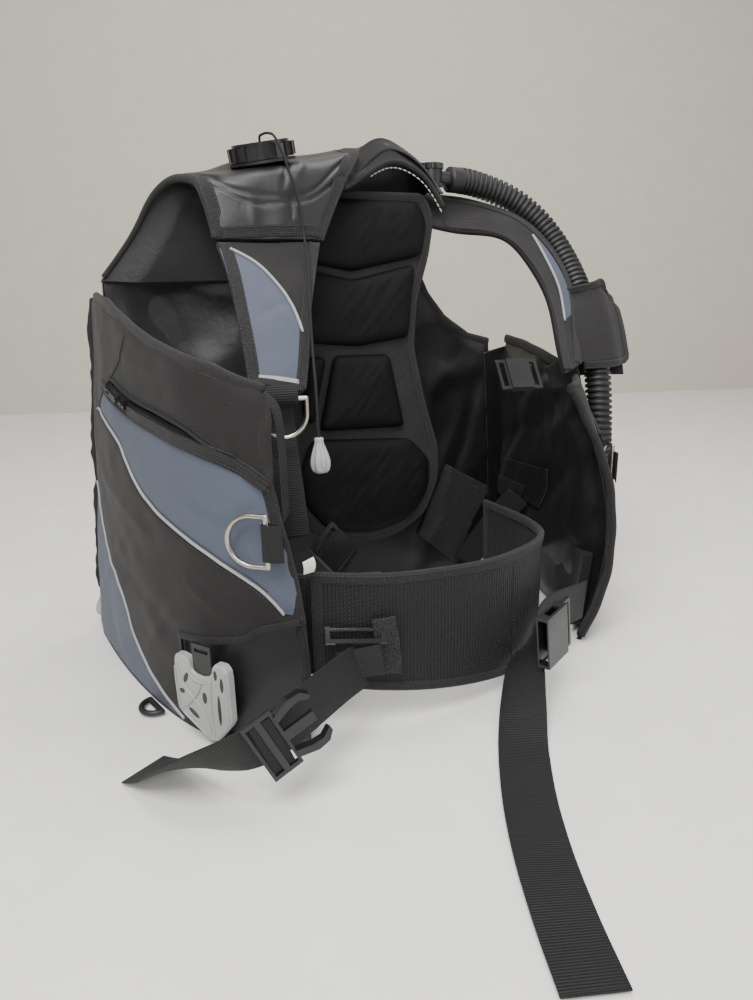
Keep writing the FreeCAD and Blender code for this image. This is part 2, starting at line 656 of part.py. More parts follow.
def pouch_block(plan_of_height, side, grow):
    start, end = sorted((-side * (POUCH_DEPTH[0] - grow), -side * (POUCH_DEPTH[1] + grow)))
    heights = [POUCH_Z[0] - grow, POUCH_Z[1] + grow]
    block = wall([plan_of_height(height) for height in heights], heights, start, end)
    low, high = (-420, 0) if side < 0 else (0, 420)
    front = POUCH_Y[0] if side < 0 else -140.0
    rear = POUCH_Y[1] if side < 0 else -50.0
    return block.cut(box(low, high, rear + grow, 300, -10, 300)).cut(box(low, high, -300, front - grow, -10, 300))


# ---------------------------------------------------------------- valves
def make_dump_flange():
    return ring(DUMP_RADIUS + 1, 13, -3, 0).fuse(ring(DUMP_RADIUS - 8, 27, 0, 9))


def make_dump_cap():
    cap = ring(DUMP_RADIUS, DUMP_RADIUS - 5, 0.8, DUMP_HEIGHT - 4)
    top = cylinder(DUMP_RADIUS - 4, DUMP_HEIGHT - 6, DUMP_HEIGHT)
    cap = cap.fuse(top)
    for i in range(DUMP_RIBS):
        rib = box(DUMP_RADIUS - 3, DUMP_RADIUS + 1.6, -2.2, 2.2, 2, DUMP_HEIGHT - 3)
        rib.rotate(V(0, 0, 0), V(0, 0, 1), i * 360 / DUMP_RIBS)
        cap = cap.fuse(rib)
    return cap.cut(cylinder(2.2, 0, 40)).removeSplitter()


def make_valve_disc():
    """Rubber-faced valve disc on a short stem, under the cap."""
    return cylinder(17, 1.0, 4.0).fuse(cylinder(3, 4.0, 8.0))


SPRING_RADIUS = 9.0
SPRING_WIRE = 0.6


def make_valve_spring(foot, height, turns):
    """Flat coil round the disc's stem, pressed up against the inside of the lid."""
    helix = Part.makeHelix(height / turns, height, SPRING_RADIUS)
    section = Part.Wire(Part.makeCircle(SPRING_WIRE, V(SPRING_RADIUS, 0, 0), V(0, 1, 0)))
    coil = Part.Wire(helix).makePipeShell([section], True, False)
    coil.translate(V(0, 0, foot))
    return coil


def on_dump(shape):
    return placed(shape, DUMP_SEAT, DUMP_AXIS)


def on_rear_dump(shape):
    return placed(shape, REAR_DUMP_SEAT, V(0, 1, 0))


def make_rear_dump_valve():
    flange = ring(REAR_DUMP_RADIUS + 5, 13, -1.5, 0.5)
    cap = ring(REAR_DUMP_RADIUS, REAR_DUMP_RADIUS - 4, 0.5, 13)
    lid = cylinder(REAR_DUMP_RADIUS - 3, 11, 14.5)
    valve = flange.fuse([cap, lid])
    exit_hole = Part.makeCylinder(3.2, 26, V(-12, 0, 8), V(-1, 0, 0))
    return valve.cut(exit_hole).removeSplitter()


def make_knob():
    """Fluted pull knob, its mouth at the origin and its body to -Z."""
    cone = Part.makeCone(KNOB_RADIUS * 0.42, KNOB_RADIUS, KNOB_LENGTH * 0.55, V(0, 0, 0), V(0, 0, -1))
    foot = Part.makeCone(KNOB_RADIUS, KNOB_RADIUS * 0.62, KNOB_LENGTH * 0.45, V(0, 0, -KNOB_LENGTH * 0.55),
                         V(0, 0, -1))
    knob = cone.fuse(foot)
    for i in range(8):
        groove = Part.makeCylinder(1.7, KNOB_LENGTH * 0.8, V(KNOB_RADIUS + 0.4, 0, -KNOB_LENGTH), V(0, 0, 1))
        groove.rotate(V(0, 0, 0), V(0, 0, 1), i * 45)
        knob = knob.cut(groove)
    return knob.cut(cylinder(DUMP_CORD_DIAMETER / 2 + 0.5, -KNOB_LENGTH + 8, 1))


CORD_IN_KNOB = 5.0


def place_dump_knob():
    end = V(*DUMP_CORD_ROUTE[-1])
    way = (end - V(*DUMP_CORD_ROUTE[-2])).normalize()
    return placed(make_knob(), end - way * CORD_IN_KNOB, way * -1)


def place_rear_knob():
    end = V(*REAR_CORD_ROUTE[-1])
    way = (end - V(*REAR_CORD_ROUTE[-2])).normalize()
    return placed(make_knob(), end - way * CORD_IN_KNOB, way * -1)


# ---------------------------------------------------------------- inflator
ELBOW_FLANGE = 20.0


def make_elbow():
    """Elbow: flange on the shoulder, chamber, and a spigot along the hose's first run."""
    flange = Part.makeCylinder(ELBOW_FLANGE, 3, ELBOW_CENTRE + V(0, 0, -3), V(0, 0, 1))
    chamber = Part.makeCylinder(15, 18, ELBOW_CENTRE, V(0, 0, 1))
    way = (V(*HOSE_ROUTE[1]) - V(*HOSE_ROUTE[0])).normalize()
    start = V(*HOSE_ROUTE[0])
    spigot = Part.makeCylinder(10, 30.5, start - way * 30.5, way)
    return flange.fuse([chamber, spigot]).removeSplitter()


def elbow_room():
    """Space left in the shoulder and collar for the elbow's flange and chamber."""
    return Part.makeCylinder(ELBOW_FLANGE + CLEAR, 60, ELBOW_CENTRE + V(0, 0, -3 - CLEAR), V(0, 0, 1))


def make_elbow_cap():
    cap = cylinder(17, 0, 7)
    for i in range(12):
        notch = cylinder(1.6, -1, 8, (17.4, 0))
        notch.rotate(V(0, 0, 0), V(0, 0, 1), i * 30)
        cap = cap.cut(notch)
    return placed(cap, ELBOW_CENTRE + V(0, 0, 18.3), V(0, 0, 1))


INFLATOR_LENGTH = 92.0


def make_inflator_body():
    """Inflator body hanging down from its hose socket, nipple beside the socket."""
    x, y, z = INFLATOR_TOP
    socket = Part.makeCylinder(15, 14, V(x, y, z - 4), V(0, 0, 1))
    barrel = Part.makeCylinder(13, INFLATOR_LENGTH - 4, V(x, y, z - INFLATOR_LENGTH), V(0, 0, 1))
    block = box(x - 9, x + 9, y, y + NIPPLE_ASIDE + 7, z - 52, z - 24)
    nipple = Part.makeCylinder(NIPPLE_RADIUS, NIPPLE_LENGTH, V(x + 2, y + NIPPLE_ASIDE, z - 26), NIPPLE_WAY)
    collar = Part.makeCylinder(6.5, 5, V(x + 2, y + NIPPLE_ASIDE, z - 26), NIPPLE_WAY)
    port = Part.makeCylinder(9.5, 24, V(x, y, z - 74), V(0, 1, 0))
    body = socket.fuse([barrel, block, nipple, collar, port])
    seat = Part.makeCylinder(9, 10, V(x + 3.5, y + 14, z - 37), V(1, 0, 0))
    foot = Part.makeCylinder(9.5, 6, V(x, y, z - INFLATOR_LENGTH), V(0, 0, 1))
    return body.cut(seat).cut(foot).removeSplitter()


NIPPLE_RADIUS = 4.4
NIPPLE_LENGTH = 22.0
NIPPLE_WAY = V(0.3, 0, 0.954)
NIPPLE_ASIDE = 25.5


def make_inflate_button():
    x, y, z = INFLATOR_TOP
    return Part.makeCylinder(8.6, 8.5, V(x + 8, y + 14, z - 37), V(1, 0, 0))


def make_deflate_button():
    x, y, z = INFLATOR_TOP
    return Part.makeCylinder(9.1, 8.0, V(x, y, z - INFLATOR_LENGTH - 6.5), V(0, 0, 1))


def make_mouthpiece():
    x, y, z = INFLATOR_TOP
    stem = Part.makeCylinder(11.5, 15, V(x, y + 24.2, z - 74), V(0, 1, 0))
    lips = box(x - 18, x + 18, y + 35, y + 39, z - 85, z - 63)
    bore = Part.makeCylinder(7, 40, V(x, y + 20, z - 74), V(0, 1, 0))
    return stem.fuse(lips).cut(bore).removeSplitter()


KEEPER_Z = (360.0, 430.0)
KEEPER_GAP = 1.2
KEEPER_THICK = 2.4


def make_hose_keeper():
    """Hook-and-loop sleeve wrapped round the hose below the shoulder."""
    path, radii = rounded_route(HOSE_ROUTE)
    points = [p for p in path.discretize(Number=120) if KEEPER_Z[0] < p.z < KEEPER_Z[1]]
    curve = Part.BSplineCurve()
    curve.interpolate(points)
    spine = Part.Wire(curve.toShape())
    along = points[1] - points[0]
    solids = []
    for radius in (HOSE_DIAMETER / 2 + KEEPER_GAP + KEEPER_THICK, HOSE_DIAMETER / 2 + KEEPER_GAP):
        section = Part.Wire(Part.makeCircle(radius, points[0], along))
        solids.append(spine.makePipeShell([section], True, False, 2))
    return solids[0].cut(solids[1])


# ---------------------------------------------------------------- tank side
def make_backpack_plate():
    low, high = PLATE_Z
    plate = box(-95, 95, 132, 172, low, high)
    plate = plate.cut(box(-96, -64, 152, 173, low - 1, high + 1)).cut(box(64, 96, 152, 173, low - 1, high + 1))
    plate = plate.cut(Part.makeCylinder(TANK_RADIUS + 4, high - low + 2, V(0, TANK_Y, low - 1), V(0, 0, 1)))
    for side in (-1, 1):
        for z in PLATE_SCREWS:
            plate = plate.cut(Part.makeCylinder(3.2, 60, V(side * 80, 120, z), V(0, 1, 0)))
    grip = box(-45, 45, 120, 180, high - 26, high - 8)
    return plate.cut(grip)


PLATE_SCREWS = (190.0, 420.0)


def make_backpack_screws():
    screws = []
    for side in (-1, 1):
        for z in PLATE_SCREWS:
            shank = Part.makeCylinder(3.0, 18, V(side * 80, 134, z), V(0, 1, 0))
            head = Part.makeCylinder(6.5, 3.5, V(side * 80, 152.2, z), V(0, 1, 0))
            screws.append(shank.fuse(head))
    return group(*screws)


def around_tank(shape):
    return placed(shape, V(0, TANK_Y, 0), V(0, 0, 1))


def make_tank_band():
    low, high = TANK_BAND_Z
    return around_tank(ring(TANK_RADIUS + BAND_THICK, TANK_RADIUS, low, high))


def at_cam(shape, radius):
    """Local X points out of the tank at the cam buckle, Y round the band, Z up."""
    turned = shape.copy()
    turned.rotate(V(0, 0, 0), V(0, 0, 1), CAM_ANGLE)
    reach = V(math.cos(math.radians(CAM_ANGLE)), math.sin(math.radians(CAM_ANGLE)), 0) * radius
    turned.translate(V(0, TANK_Y, sum(TANK_BAND_Z) / 2) + reach)
    return turned


CAM_SEAT = TANK_RADIUS + BAND_THICK + 3.2


def make_cam_frame():
    base = box(0, 4, -30, 34, -28, 28)
    cheeks = []
    for z0 in (-31, 27.5):
        cheek = box(0, 22, -10, 30, z0, z0 + 3.5)
        cheeks.append(cheek)
    frame = base.fuse(cheeks)
    pin_hole = Part.makeCylinder(CAM_PIN_RADIUS, 80, V(14, 0, -40), V(0, 0, 1))
    return at_cam(frame.cut(pin_hole).removeSplitter(), CAM_SEAT)


def make_cam_pin():
    pin = Part.makeCylinder(CAM_PIN_RADIUS, 66, V(14, 0, -33), V(0, 0, 1))
    return at_cam(pin, CAM_SEAT)


def make_cam_lever():
    """Lever with its cam barrel on the pin; closed, it lies along the band."""
    barrel = Part.makeCylinder(7.5, 53, V(14, 0, -26.5), V(0, 0, 1))
    blade = box(14, 19, 0, 62, -25, 25)
    lip = box(14, 26, 58, 62, -25, 25)
    lever = barrel.fuse([blade, lip]).cut(
        Part.makeCylinder(CAM_PIN_RADIUS + 0.3, 80, V(14, 0, -40), V(0, 0, 1)))
    return at_cam(lever.removeSplitter(), CAM_SEAT)


HANDLE_EDGE_Y = (148.0, 128.0)
HANDLE_ARCH = [(-42, 501), (-34, 524), (-14, 536), (14, 536), (34, 524), (42, 501)]
HANDLE_THICK = 5.0


def make_carry_handle():
    rear, front = HANDLE_EDGE_Y
    return sheet_loft([((x, rear, z), (x, front, z)) for x, z in HANDLE_ARCH], HANDLE_THICK)


# ---------------------------------------------------------------- the whole vest
def build():
    belt_right = webbing(RIGHT_BELT_ROUTE, RIGHT_BELT_ACROSS, WEBBING_WIDTH, WEBBING_THICK, "right_waist_strap")
    belt_left = webbing(LEFT_BELT_ROUTE, LEFT_BELT_ACROSS, WEBBING_WIDTH, WEBBING_THICK, "left_waist_strap")
    right_pouch = pouch_block(right_plan_of_height, -1, 0)
    left_pouch = pouch_block(left_plan_at, 1, 0)
    nodes = {
        "back_panel": make_back_panel(),
        "rear_air_lobes": make_air_lobes(),
        "right_shoulder": sheet_loft(RIGHT_SHOULDER, SHOULDER_THICK, SHOULDER_CROWN),
        "right_shoulder_strap": sheet_loft(RIGHT_STRAP, STRAP_THICK),
        "collar": make_collar().cut(elbow_room()),
        "left_shoulder": sheet_loft(LEFT_SHOULDER, STRAP_THICK).cut(elbow_room()),
        "right_wing": make_right_wing().cut(pouch_block(right_plan_of_height, -1, 0.5)),
        "left_wing": make_left_wing().cut(pouch_block(left_plan_at, 1, 0.5)),
        "right_pocket_panel": make_right_pocket_panel(),
        "left_pocket_panel": make_left_pocket_panel(),
        "back_pad_base": make_pad_base(),
        "back_pad_cells": make_pad_cells(),
        "zip_tapes": group(make_zip_tape(right_plan_of_height, -1, -1), make_zip_tape(left_plan_at, 1, 1)),
        "right_zip_slider": place_zip_slider(right_plan_of_height, -1, 0),
        "left_zip_slider": place_zip_slider(left_plan_at, 1, 22),
        "right_pinch_clip": place_on_clip(make_clip_body(), right_plan_of_height, -1),
        "right_clip_prong": place_on_clip(make_clip_prong(), right_plan_of_height, -1),
        "left_pinch_clip": place_on_clip(make_clip_body(), left_plan_at, 1),
        "left_clip_prong": place_on_clip(make_clip_prong(), left_plan_at, 1),
        "weight_pouches": group(right_pouch, left_pouch),
        "right_wing_d_ring": place_ring("right_wing_d_ring"),
        "left_wing_d_ring": place_ring("left_wing_d_ring"),
        "right_shoulder_d_ring": place_ring("right_shoulder_d_ring"),
        "d_ring_tabs": make_ring_tabs(),
        "chest_webbing": group(
            sheet_loft([((-180, -94, 336), (-144, -97, 336)), ((-178, -108, 258), (-144, -110, 258)),
                        ((-176, -123, 190), (-146, -125, 190))], WEBBING_THICK),
            sheet_loft([((172, -112, 334), (171, -104, 357)), ((196, -114, 333), (199, -105, 350)),
                        ((211, -114, 336), (212, -110, 339))], WEBBING_THICK)),
        "right_shoulder_buckle": placed(make_shoulder_buckle(), V(-110, -120, 172), V(0.2, -0.95, 0.1),
                                        V(0.75, 0.15, 0.60)),
        "left_shoulder_buckle": placed(make_shoulder_buckle(), V(141, -106, 346), V(-0.1, -0.75, 0.6),
                                       V(0.1, 0.5, 0.85)),
        "cummerbund_left": make_cummerbund_left(),
        "cummerbund_right": make_cummerbund_right(),
        "right_waist_strap": belt_right,
        "left_waist_strap": belt_left,
        "waist_buckle_male": placed(make_male_buckle(), BUCKLE_MALE_AT,
                                    BUCKLE_MALE_ACROSS.cross(BUCKLE_MALE_WAY), BUCKLE_MALE_ACROSS),
        "waist_buckle_female": placed(make_female_buckle(), BUCKLE_FEMALE_AT,
                                      BUCKLE_FEMALE_ACROSS.cross(BUCKLE_FEMALE_WAY), BUCKLE_FEMALE_ACROSS),
        "waist_slider_ring": placed(make_slider_ring(), SLIDER_AT, V(-0.1, -0.6, 0.75), V(0.93, -0.35, 0)),
        "dump_valve_flange": on_dump(make_dump_flange()),
        "dump_valve_cap": on_dump(make_dump_cap()),
        "dump_valve_disc": on_dump(make_valve_disc()),
        "valve_springs": group(on_dump(make_valve_spring(9.1, 3.0, 2)), on_rear_dump(make_valve_spring(8.9, 1.4, 1))),
        "dump_pull_cord": tube(DUMP_CORD_ROUTE, DUMP_CORD_DIAMETER, "dump_pull_cord"),
        "dump_pull_knob": place_dump_knob(),
        "rear_dump_valve": on_rear_dump(make_rear_dump_valve()),
        "rear_dump_disc": on_rear_dump(make_valve_disc()),
        "rear_dump_cord": tube(REAR_CORD_ROUTE, DUMP_CORD_DIAMETER, "rear_dump_cord"),
        "rear_dump_knob": place_rear_knob(),
        "hose_elbow": make_elbow(),
        "elbow_cap": make_elbow_cap(),
        "inflator_hose": tube(HOSE_ROUTE, HOSE_DIAMETER, "inflator_hose"),
        "hose_keeper": make_hose_keeper(),
        "inflator_body": make_inflator_body(),
        "inflate_button": make_inflate_button(),
        "deflate_button": make_deflate_button(),
        "mouthpiece": make_mouthpiece(),
        "rubber_ring": make_rubber_ring(),
        "backpack_plate": make_backpack_plate(),
        "backpack_screws": make_backpack_screws(),
        "tank_band": make_tank_band(),
        "cam_buckle_frame": make_cam_frame(),
        "cam_buckle_pin": make_cam_pin(),
        "cam_buckle_lever": make_cam_lever(),
        "carry_handle": make_carry_handle(),
    }
    os.makedirs("parts", exist_ok=True)
    whole = FreeCAD.BoundBox()
    for name, shape in nodes.items():
        shape.translate(FRAME_SHIFT)
        shape.exportStep("parts/" + name + ".step")
        if name not in CORD_NODES:
            whole.add(shape.BoundBox)
        if not shape.isValid():
            print("not valid:", name)
    print(len(nodes), "nodes, box without cords:", whole)
    return nodes


CORD_NODES = ("right_waist_strap", "left_waist_strap", "waist_buckle_male", "waist_buckle_female",
              "dump_pull_cord", "dump_pull_knob", "rear_dump_cord", "rear_dump_knob",
              "inflator_hose", "inflator_body", "inflate_button", "deflate_button", "mouthpiece")

build()
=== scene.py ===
import json
import math

import bmesh
import bpy
import numpy as np
from mathutils import Matrix, Vector


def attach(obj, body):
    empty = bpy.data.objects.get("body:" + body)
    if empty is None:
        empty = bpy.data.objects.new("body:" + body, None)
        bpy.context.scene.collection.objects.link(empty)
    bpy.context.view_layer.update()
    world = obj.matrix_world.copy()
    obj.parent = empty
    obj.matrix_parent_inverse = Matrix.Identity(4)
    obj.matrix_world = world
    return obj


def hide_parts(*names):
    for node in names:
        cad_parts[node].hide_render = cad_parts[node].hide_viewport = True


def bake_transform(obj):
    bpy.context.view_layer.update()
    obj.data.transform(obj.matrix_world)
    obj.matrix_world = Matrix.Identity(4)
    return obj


# Looks of the buoyancy vest.  Shapes below are in millimetres about the middle of the back,
# as the part's outlines are; metres() moves them into the frame.
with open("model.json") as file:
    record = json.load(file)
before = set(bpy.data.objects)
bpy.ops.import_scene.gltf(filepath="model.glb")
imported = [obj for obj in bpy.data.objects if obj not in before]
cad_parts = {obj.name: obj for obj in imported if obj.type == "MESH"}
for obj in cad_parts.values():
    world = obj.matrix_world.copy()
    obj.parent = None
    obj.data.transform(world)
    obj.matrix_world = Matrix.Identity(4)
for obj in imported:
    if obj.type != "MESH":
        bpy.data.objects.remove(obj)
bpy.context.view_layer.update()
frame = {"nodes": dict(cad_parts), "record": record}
nodes = frame["nodes"]

SHIFT = np.array([0.0, -58.0, 0.0])
MM = 0.001
UP = np.array([0.0, 0.0, 1.0])
BODY = "vest"
STEP = 3.0
FAR = 1e9
FLOOR_GAP = 0.6
PIPE_RADIUS = 1.7
ROUND_EDGE = 0.48


def metres(points):
    return (np.asarray(points, float) + SHIFT) * MM


# ---------------------------------------------------------------- curves and reliefs
def spline(points):
    """Smooth curve through points, by share of its length."""
    p = np.asarray(points, float)
    knots = np.r_[0, np.cumsum(np.linalg.norm(np.diff(p, axis=0), axis=1))]
    knots /= knots[-1]
    gaps = np.diff(knots)
    count = len(p)
    system = np.eye(count)
    right = np.zeros_like(p)
    for i in range(1, count - 1):
        system[i, i - 1:i + 2] = gaps[i - 1], 2 * (gaps[i - 1] + gaps[i]), gaps[i]
        right[i] = 6 * ((p[i + 1] - p[i]) / gaps[i] - (p[i] - p[i - 1]) / gaps[i - 1])
    bends = np.linalg.solve(system, right)

    def at(share):
        share = np.clip(np.asarray(share, float), 0, 1)
        k = np.clip(np.searchsorted(knots, share, side="right") - 1, 0, count - 2)
        gap = gaps[k][..., None]
        a = (knots[k + 1] - share)[..., None] / gap
        b = (share - knots[k])[..., None] / gap
        return a * p[k] + b * p[k + 1] + ((a ** 3 - a) * bends[k] + (b ** 3 - b) * bends[k + 1]) * gap ** 2 / 6
    return at


def unit(v):
    v = np.asarray(v, float)
    return v / np.maximum(np.linalg.norm(v, axis=-1, keepdims=True), 1e-9)


def rounded(points):
    """Points along straight runs joined by tangent arcs."""
    share, steps = 0.45, 9
    p = [np.array(q, float) for q in points]
    line = [p[0]]
    for a, b, c in zip(p, p[1:], p[2:]):
        reach = share * min(np.linalg.norm(b - a), np.linalg.norm(c - b))
        first = b + unit(a - b) * reach
        last = b + unit(c - b) * reach
        turn = math.acos(np.clip(unit(b - a) @ unit(c - b), -1, 1))
        radius = reach / max(math.tan(turn / 2), 1e-6)
        inward = unit((first + last) / 2 - b)
        centre = b + inward * math.hypot(radius, reach)
        u, v = first - centre, last - centre
        for i in range(steps + 1):
            t = i / steps
            line.append(centre + (math.sin((1 - t) * turn) * u + math.sin(t * turn) * v) / max(math.sin(turn), 1e-6))
    line.append(p[-1])
    return np.array(line)


def lengths(path):
    return np.r_[0, np.cumsum(np.linalg.norm(np.diff(path, axis=0), axis=1))]


def even(path, step):
    path = np.asarray(path, float)
    run = lengths(path)
    count = max(int(round(run[-1] / step)), 2)
    places = np.linspace(0, run[-1], count + 1)
    return np.stack([np.interp(places, run, path[:, k]) for k in range(path.shape[1])], -1)


def curve(points, step=4.0):
    return even(spline(points)(np.linspace(0, 1, 400)), step)


def line_at(table, x):
    xs, ys = zip(*table)
    return np.interp(x, xs, ys)


def waves(x, y, seed, size, amount, stretch=1.0):
    """Seeded soft unevenness, about `amount` high and `size` long."""
    count = 9
    rng = np.random.default_rng(seed)
    total = np.zeros(np.broadcast(x, y).shape)
    for _ in range(count):
        angle = rng.uniform(0, 2 * math.pi)
        pitch = size * rng.uniform(0.6, 1.6)
        phase = rng.uniform(0, 2 * math.pi)
        total = total + np.sin((x * math.cos(angle) / stretch + y * math.sin(angle)) * 2 * math.pi / pitch + phase)
    return total * amount / math.sqrt(count)


def fold(x, y, a, b, width, height):
    """A ridge (or groove, if height is negative) from a to b."""
    a, b = np.array(a, float), np.array(b, float)
    d = b - a
    t = np.clip(((x - a[0]) * d[0] + (y - a[1]) * d[1]) / (d @ d), 0, 1)
    away = np.hypot(x - a[0] - t * d[0], y - a[1] - t * d[1])
    swell = np.sin(np.clip(t * 0.9 + 0.05, 0, 1) * math.pi) ** 0.5
    return height * swell * np.exp(-(away / width) ** 2)


def folded(relief_map, x, y, folds):
    for a, b, width, height in folds:
        relief_map = relief_map + fold(x, y, a, b, width, height)
    return relief_map


def near(x, centre, width):
    return np.exp(-((x - centre) / width) ** 2)


def ramp(x, low, high):
    t = np.clip((x - low) / (high - low), 0, 1)
    return t * t * (3 - 2 * t)


# ---------------------------------------------------------------- meshes
def mesh(name, verts, faces, uv, materials, kinds=None, body=BODY, smooth=True, replaces=(), slot=None,
         fill=None):
    """A mesh object on its body.  body is one body, or a tuple of two bodies and two points, for which the mesh is only
    baked in place.
    """
    data = bpy.data.meshes.new(name)
    data.from_pydata(metres(verts).tolist(), [], faces)
    for m in materials:
        data.materials.append(m)
    layer = data.uv_layers.new(name="UVMap")
    corner = np.zeros(len(data.loops), int)
    data.loops.foreach_get("vertex_index", corner)
    layer.data.foreach_set("uv", (np.asarray(uv, float)[corner] * MM).ravel())
    if kinds is not None:
        data.polygons.foreach_set("material_index", np.asarray(kinds, int))
    data.polygons.foreach_set("use_smooth", [smooth] * len(data.polygons))
    work = bmesh.new()
    work.from_mesh(data)
    bmesh.ops.recalc_face_normals(work, faces=work.faces)
    work.to_mesh(data)
    work.free()
    obj = bpy.data.objects.new(name, data)
    bpy.context.scene.collection.objects.link(obj)
    if isinstance(body, tuple):
        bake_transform(obj)
    else:
        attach(obj, body)
    if replaces:
        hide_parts(*replaces)
    return obj


def shares(across, along):
    """A grid of shares 0..1 both ways."""
    return np.meshgrid(np.linspace(0, 1, across), np.linspace(0, 1, along), indexing="ij")


def grid_faces(nu, nv, base=0):
    i, j = np.meshgrid(np.arange(nu - 1), np.arange(nv - 1), indexing="ij")
    a = (base + i * nv + j).ravel()
    return np.stack([a, a + nv, a + nv + 1, a + 1], -1)


def shell(name, outer, inner, materials, kinds=None, inner_kind=0, uv=None, **more):
    """Closed piece between two grids of points."""
    nu, nv = outer.shape[:2]
    total = nu * nv
    index = np.arange(total).reshape(nu, nv)
    faces = grid_faces(nu, nv).tolist() + grid_faces(nu, nv, total)[:, ::-1].tolist()
    for rim in (index[:, 0][::-1], index[:, -1], index[0], index[-1][::-1]):
        faces += [[int(b), int(a), int(a) + total, int(b) + total] for a, b in zip(rim, rim[1:])]
    if uv is None:
        du = np.linalg.norm(np.diff(outer, axis=0), axis=2)
        dv = np.linalg.norm(np.diff(outer, axis=1), axis=2)
        u = np.concatenate([np.zeros((1, nv)), np.cumsum(du, 0)])
        v = np.concatenate([np.zeros((nu, 1)), np.cumsum(dv, 1)], 1)
        uv = np.stack([u.mean(1, keepdims=True) + 0 * u, v], -1)
    zone = np.zeros((nu - 1, nv - 1), int) if kinds is None else kinds
    inner_zone = np.zeros((nu - 1, nv - 1), int) + inner_kind
    rest = len(faces) - 2 * (nu - 1) * (nv - 1)
    ids = np.r_[zone.ravel(), inner_zone.ravel(), np.full(rest, 0)]
    verts = np.concatenate([outer.reshape(-1, 3), inner.reshape(-1, 3)])
    both = np.concatenate([uv.reshape(-1, 2), uv.reshape(-1, 2)])
    return mesh(name, verts, faces, both, materials, ids, **more)


def frames(path, across):
    along = unit(np.gradient(path, axis=0))
    across = np.broadcast_to(np.asarray(across, float), path.shape)
    across = unit(across - along * np.sum(across * along, -1, keepdims=True))
    return along, across, np.cross(along, across)


def sweep(name, path, across, profile, materials, closed=False, kinds=None, **more):
    """A profile (across, up) carried along a path; profile may be one for each station."""
    path = np.asarray(path, float)
    count = len(path)
    side, lift = frames(path, across)[1:]
    profile = np.asarray(profile, float)
    if profile.ndim == 2:
        profile = np.broadcast_to(profile, (count,) + profile.shape)
    m = profile.shape[1]
    verts = path[:, None] + side[:, None] * profile[:, :, :1] + lift[:, None] * profile[:, :, 1:]
    run = lengths(path)
    edge = np.r_[0, np.cumsum(np.linalg.norm(np.diff(profile[0], axis=0), axis=1))]
    uv = np.stack(np.broadcast_arrays(run[:, None], edge[None, :]), -1)
    faces = []
    spans = count if closed else count - 1
    for i in range(spans):
        a, b = i * m, ((i + 1) % count) * m
        for j in range(m):
            k = (j + 1) % m
            faces.append([a + j, a + k, b + k, b + j])
    if not closed:
        faces.append(list(range(m))[::-1])
        faces.append([(count - 1) * m + j for j in range(m)])
    ids = None
    if kinds is not None:
        ids = [kinds(i, j) for i in range(spans) for j in range(m)] + ([0, 0] if not closed else [])
    return mesh(name, verts.reshape(-1, 3), faces, uv.reshape(-1, 2), materials, ids, **more)


def strip(name, path, across, profile, material, **more):
    """A sweep in one material."""
    return sweep(name, path, across, profile, [M[material]], slot=material, **more)


def flat_section(width, thick, corner=0.35):
    """Rounded flat section, `width` across and `thick` up."""
    w, t = width / 2, thick / 2
    c = min(t, w) * corner * 2
    points = []
    for x, y, start in ((w - c, t - c, 0), (-w + c, t - c, 90), (-w + c, -t + c, 180), (w - c, -t + c, 270)):
        for k in range(4):
            angle = math.radians(start + 30 * k)
            points.append((x + c * math.cos(angle), y + c * math.sin(angle)))
    across = [(x, t) for x in np.linspace(w - c, -w + c, 8)[1:-1]]
    return np.array(points[:4] + across + points[4:12] + [(-x, -y) for x, y in across] + points[12:])


def round_section(radius, sides=12):
    angles = np.arange(sides) * 2 * math.pi / sides
    return np.stack([np.cos(angles), np.sin(angles)], -1) * radius


def stitches(name, path, outward, material, pitch=4.2, size=0.55):
    """A row of short raised threads on a surface."""
    path = even(path, pitch)
    outward = np.broadcast_to(np.asarray(outward, float), path.shape) if np.ndim(outward) == 1 else outward
    if len(outward) != len(path):
        run = np.linspace(0, 1, len(outward))
        outward = np.stack([np.interp(np.linspace(0, 1, len(path)), run, outward[:, k]) for k in range(3)], -1)
    verts, faces, uv = [], [], []
    for i in range(len(path) - 1):
        a = path[i] + (path[i + 1] - path[i]) * 0.14
        b = path[i] + (path[i + 1] - path[i]) * 0.86
        n = unit(outward[i])
        side = unit(np.cross(b - a, n)) * size
        base = len(verts)
        for q, lift in ((a, -0.3), (a * 0.8 + b * 0.2, 0.55), (a * 0.2 + b * 0.8, 0.55), (b, -0.3)):
            verts += [q + side + n * size * lift, q + n * size * (lift + 0.7), q - side + n * size * lift,
                      q - n * size]
            uv += [(i * pitch, 0)] * 4
        faces.append([base + 3, base + 2, base + 1, base])
        for k in range(3):
            for j in range(4):
                faces.append([base + 4 * k + j, base + 4 * k + (j + 1) % 4, base + 4 * k + 4 + (j + 1) % 4,
                              base + 4 * k + 4 + j])
        faces.append([base + 12, base + 13, base + 14, base + 15])
    mesh(name, verts, faces, uv, [material])


# ---------------------------------------------------------------- materials
WEBBING_RIB, BAND_RIB = 0.0024, 0.0039


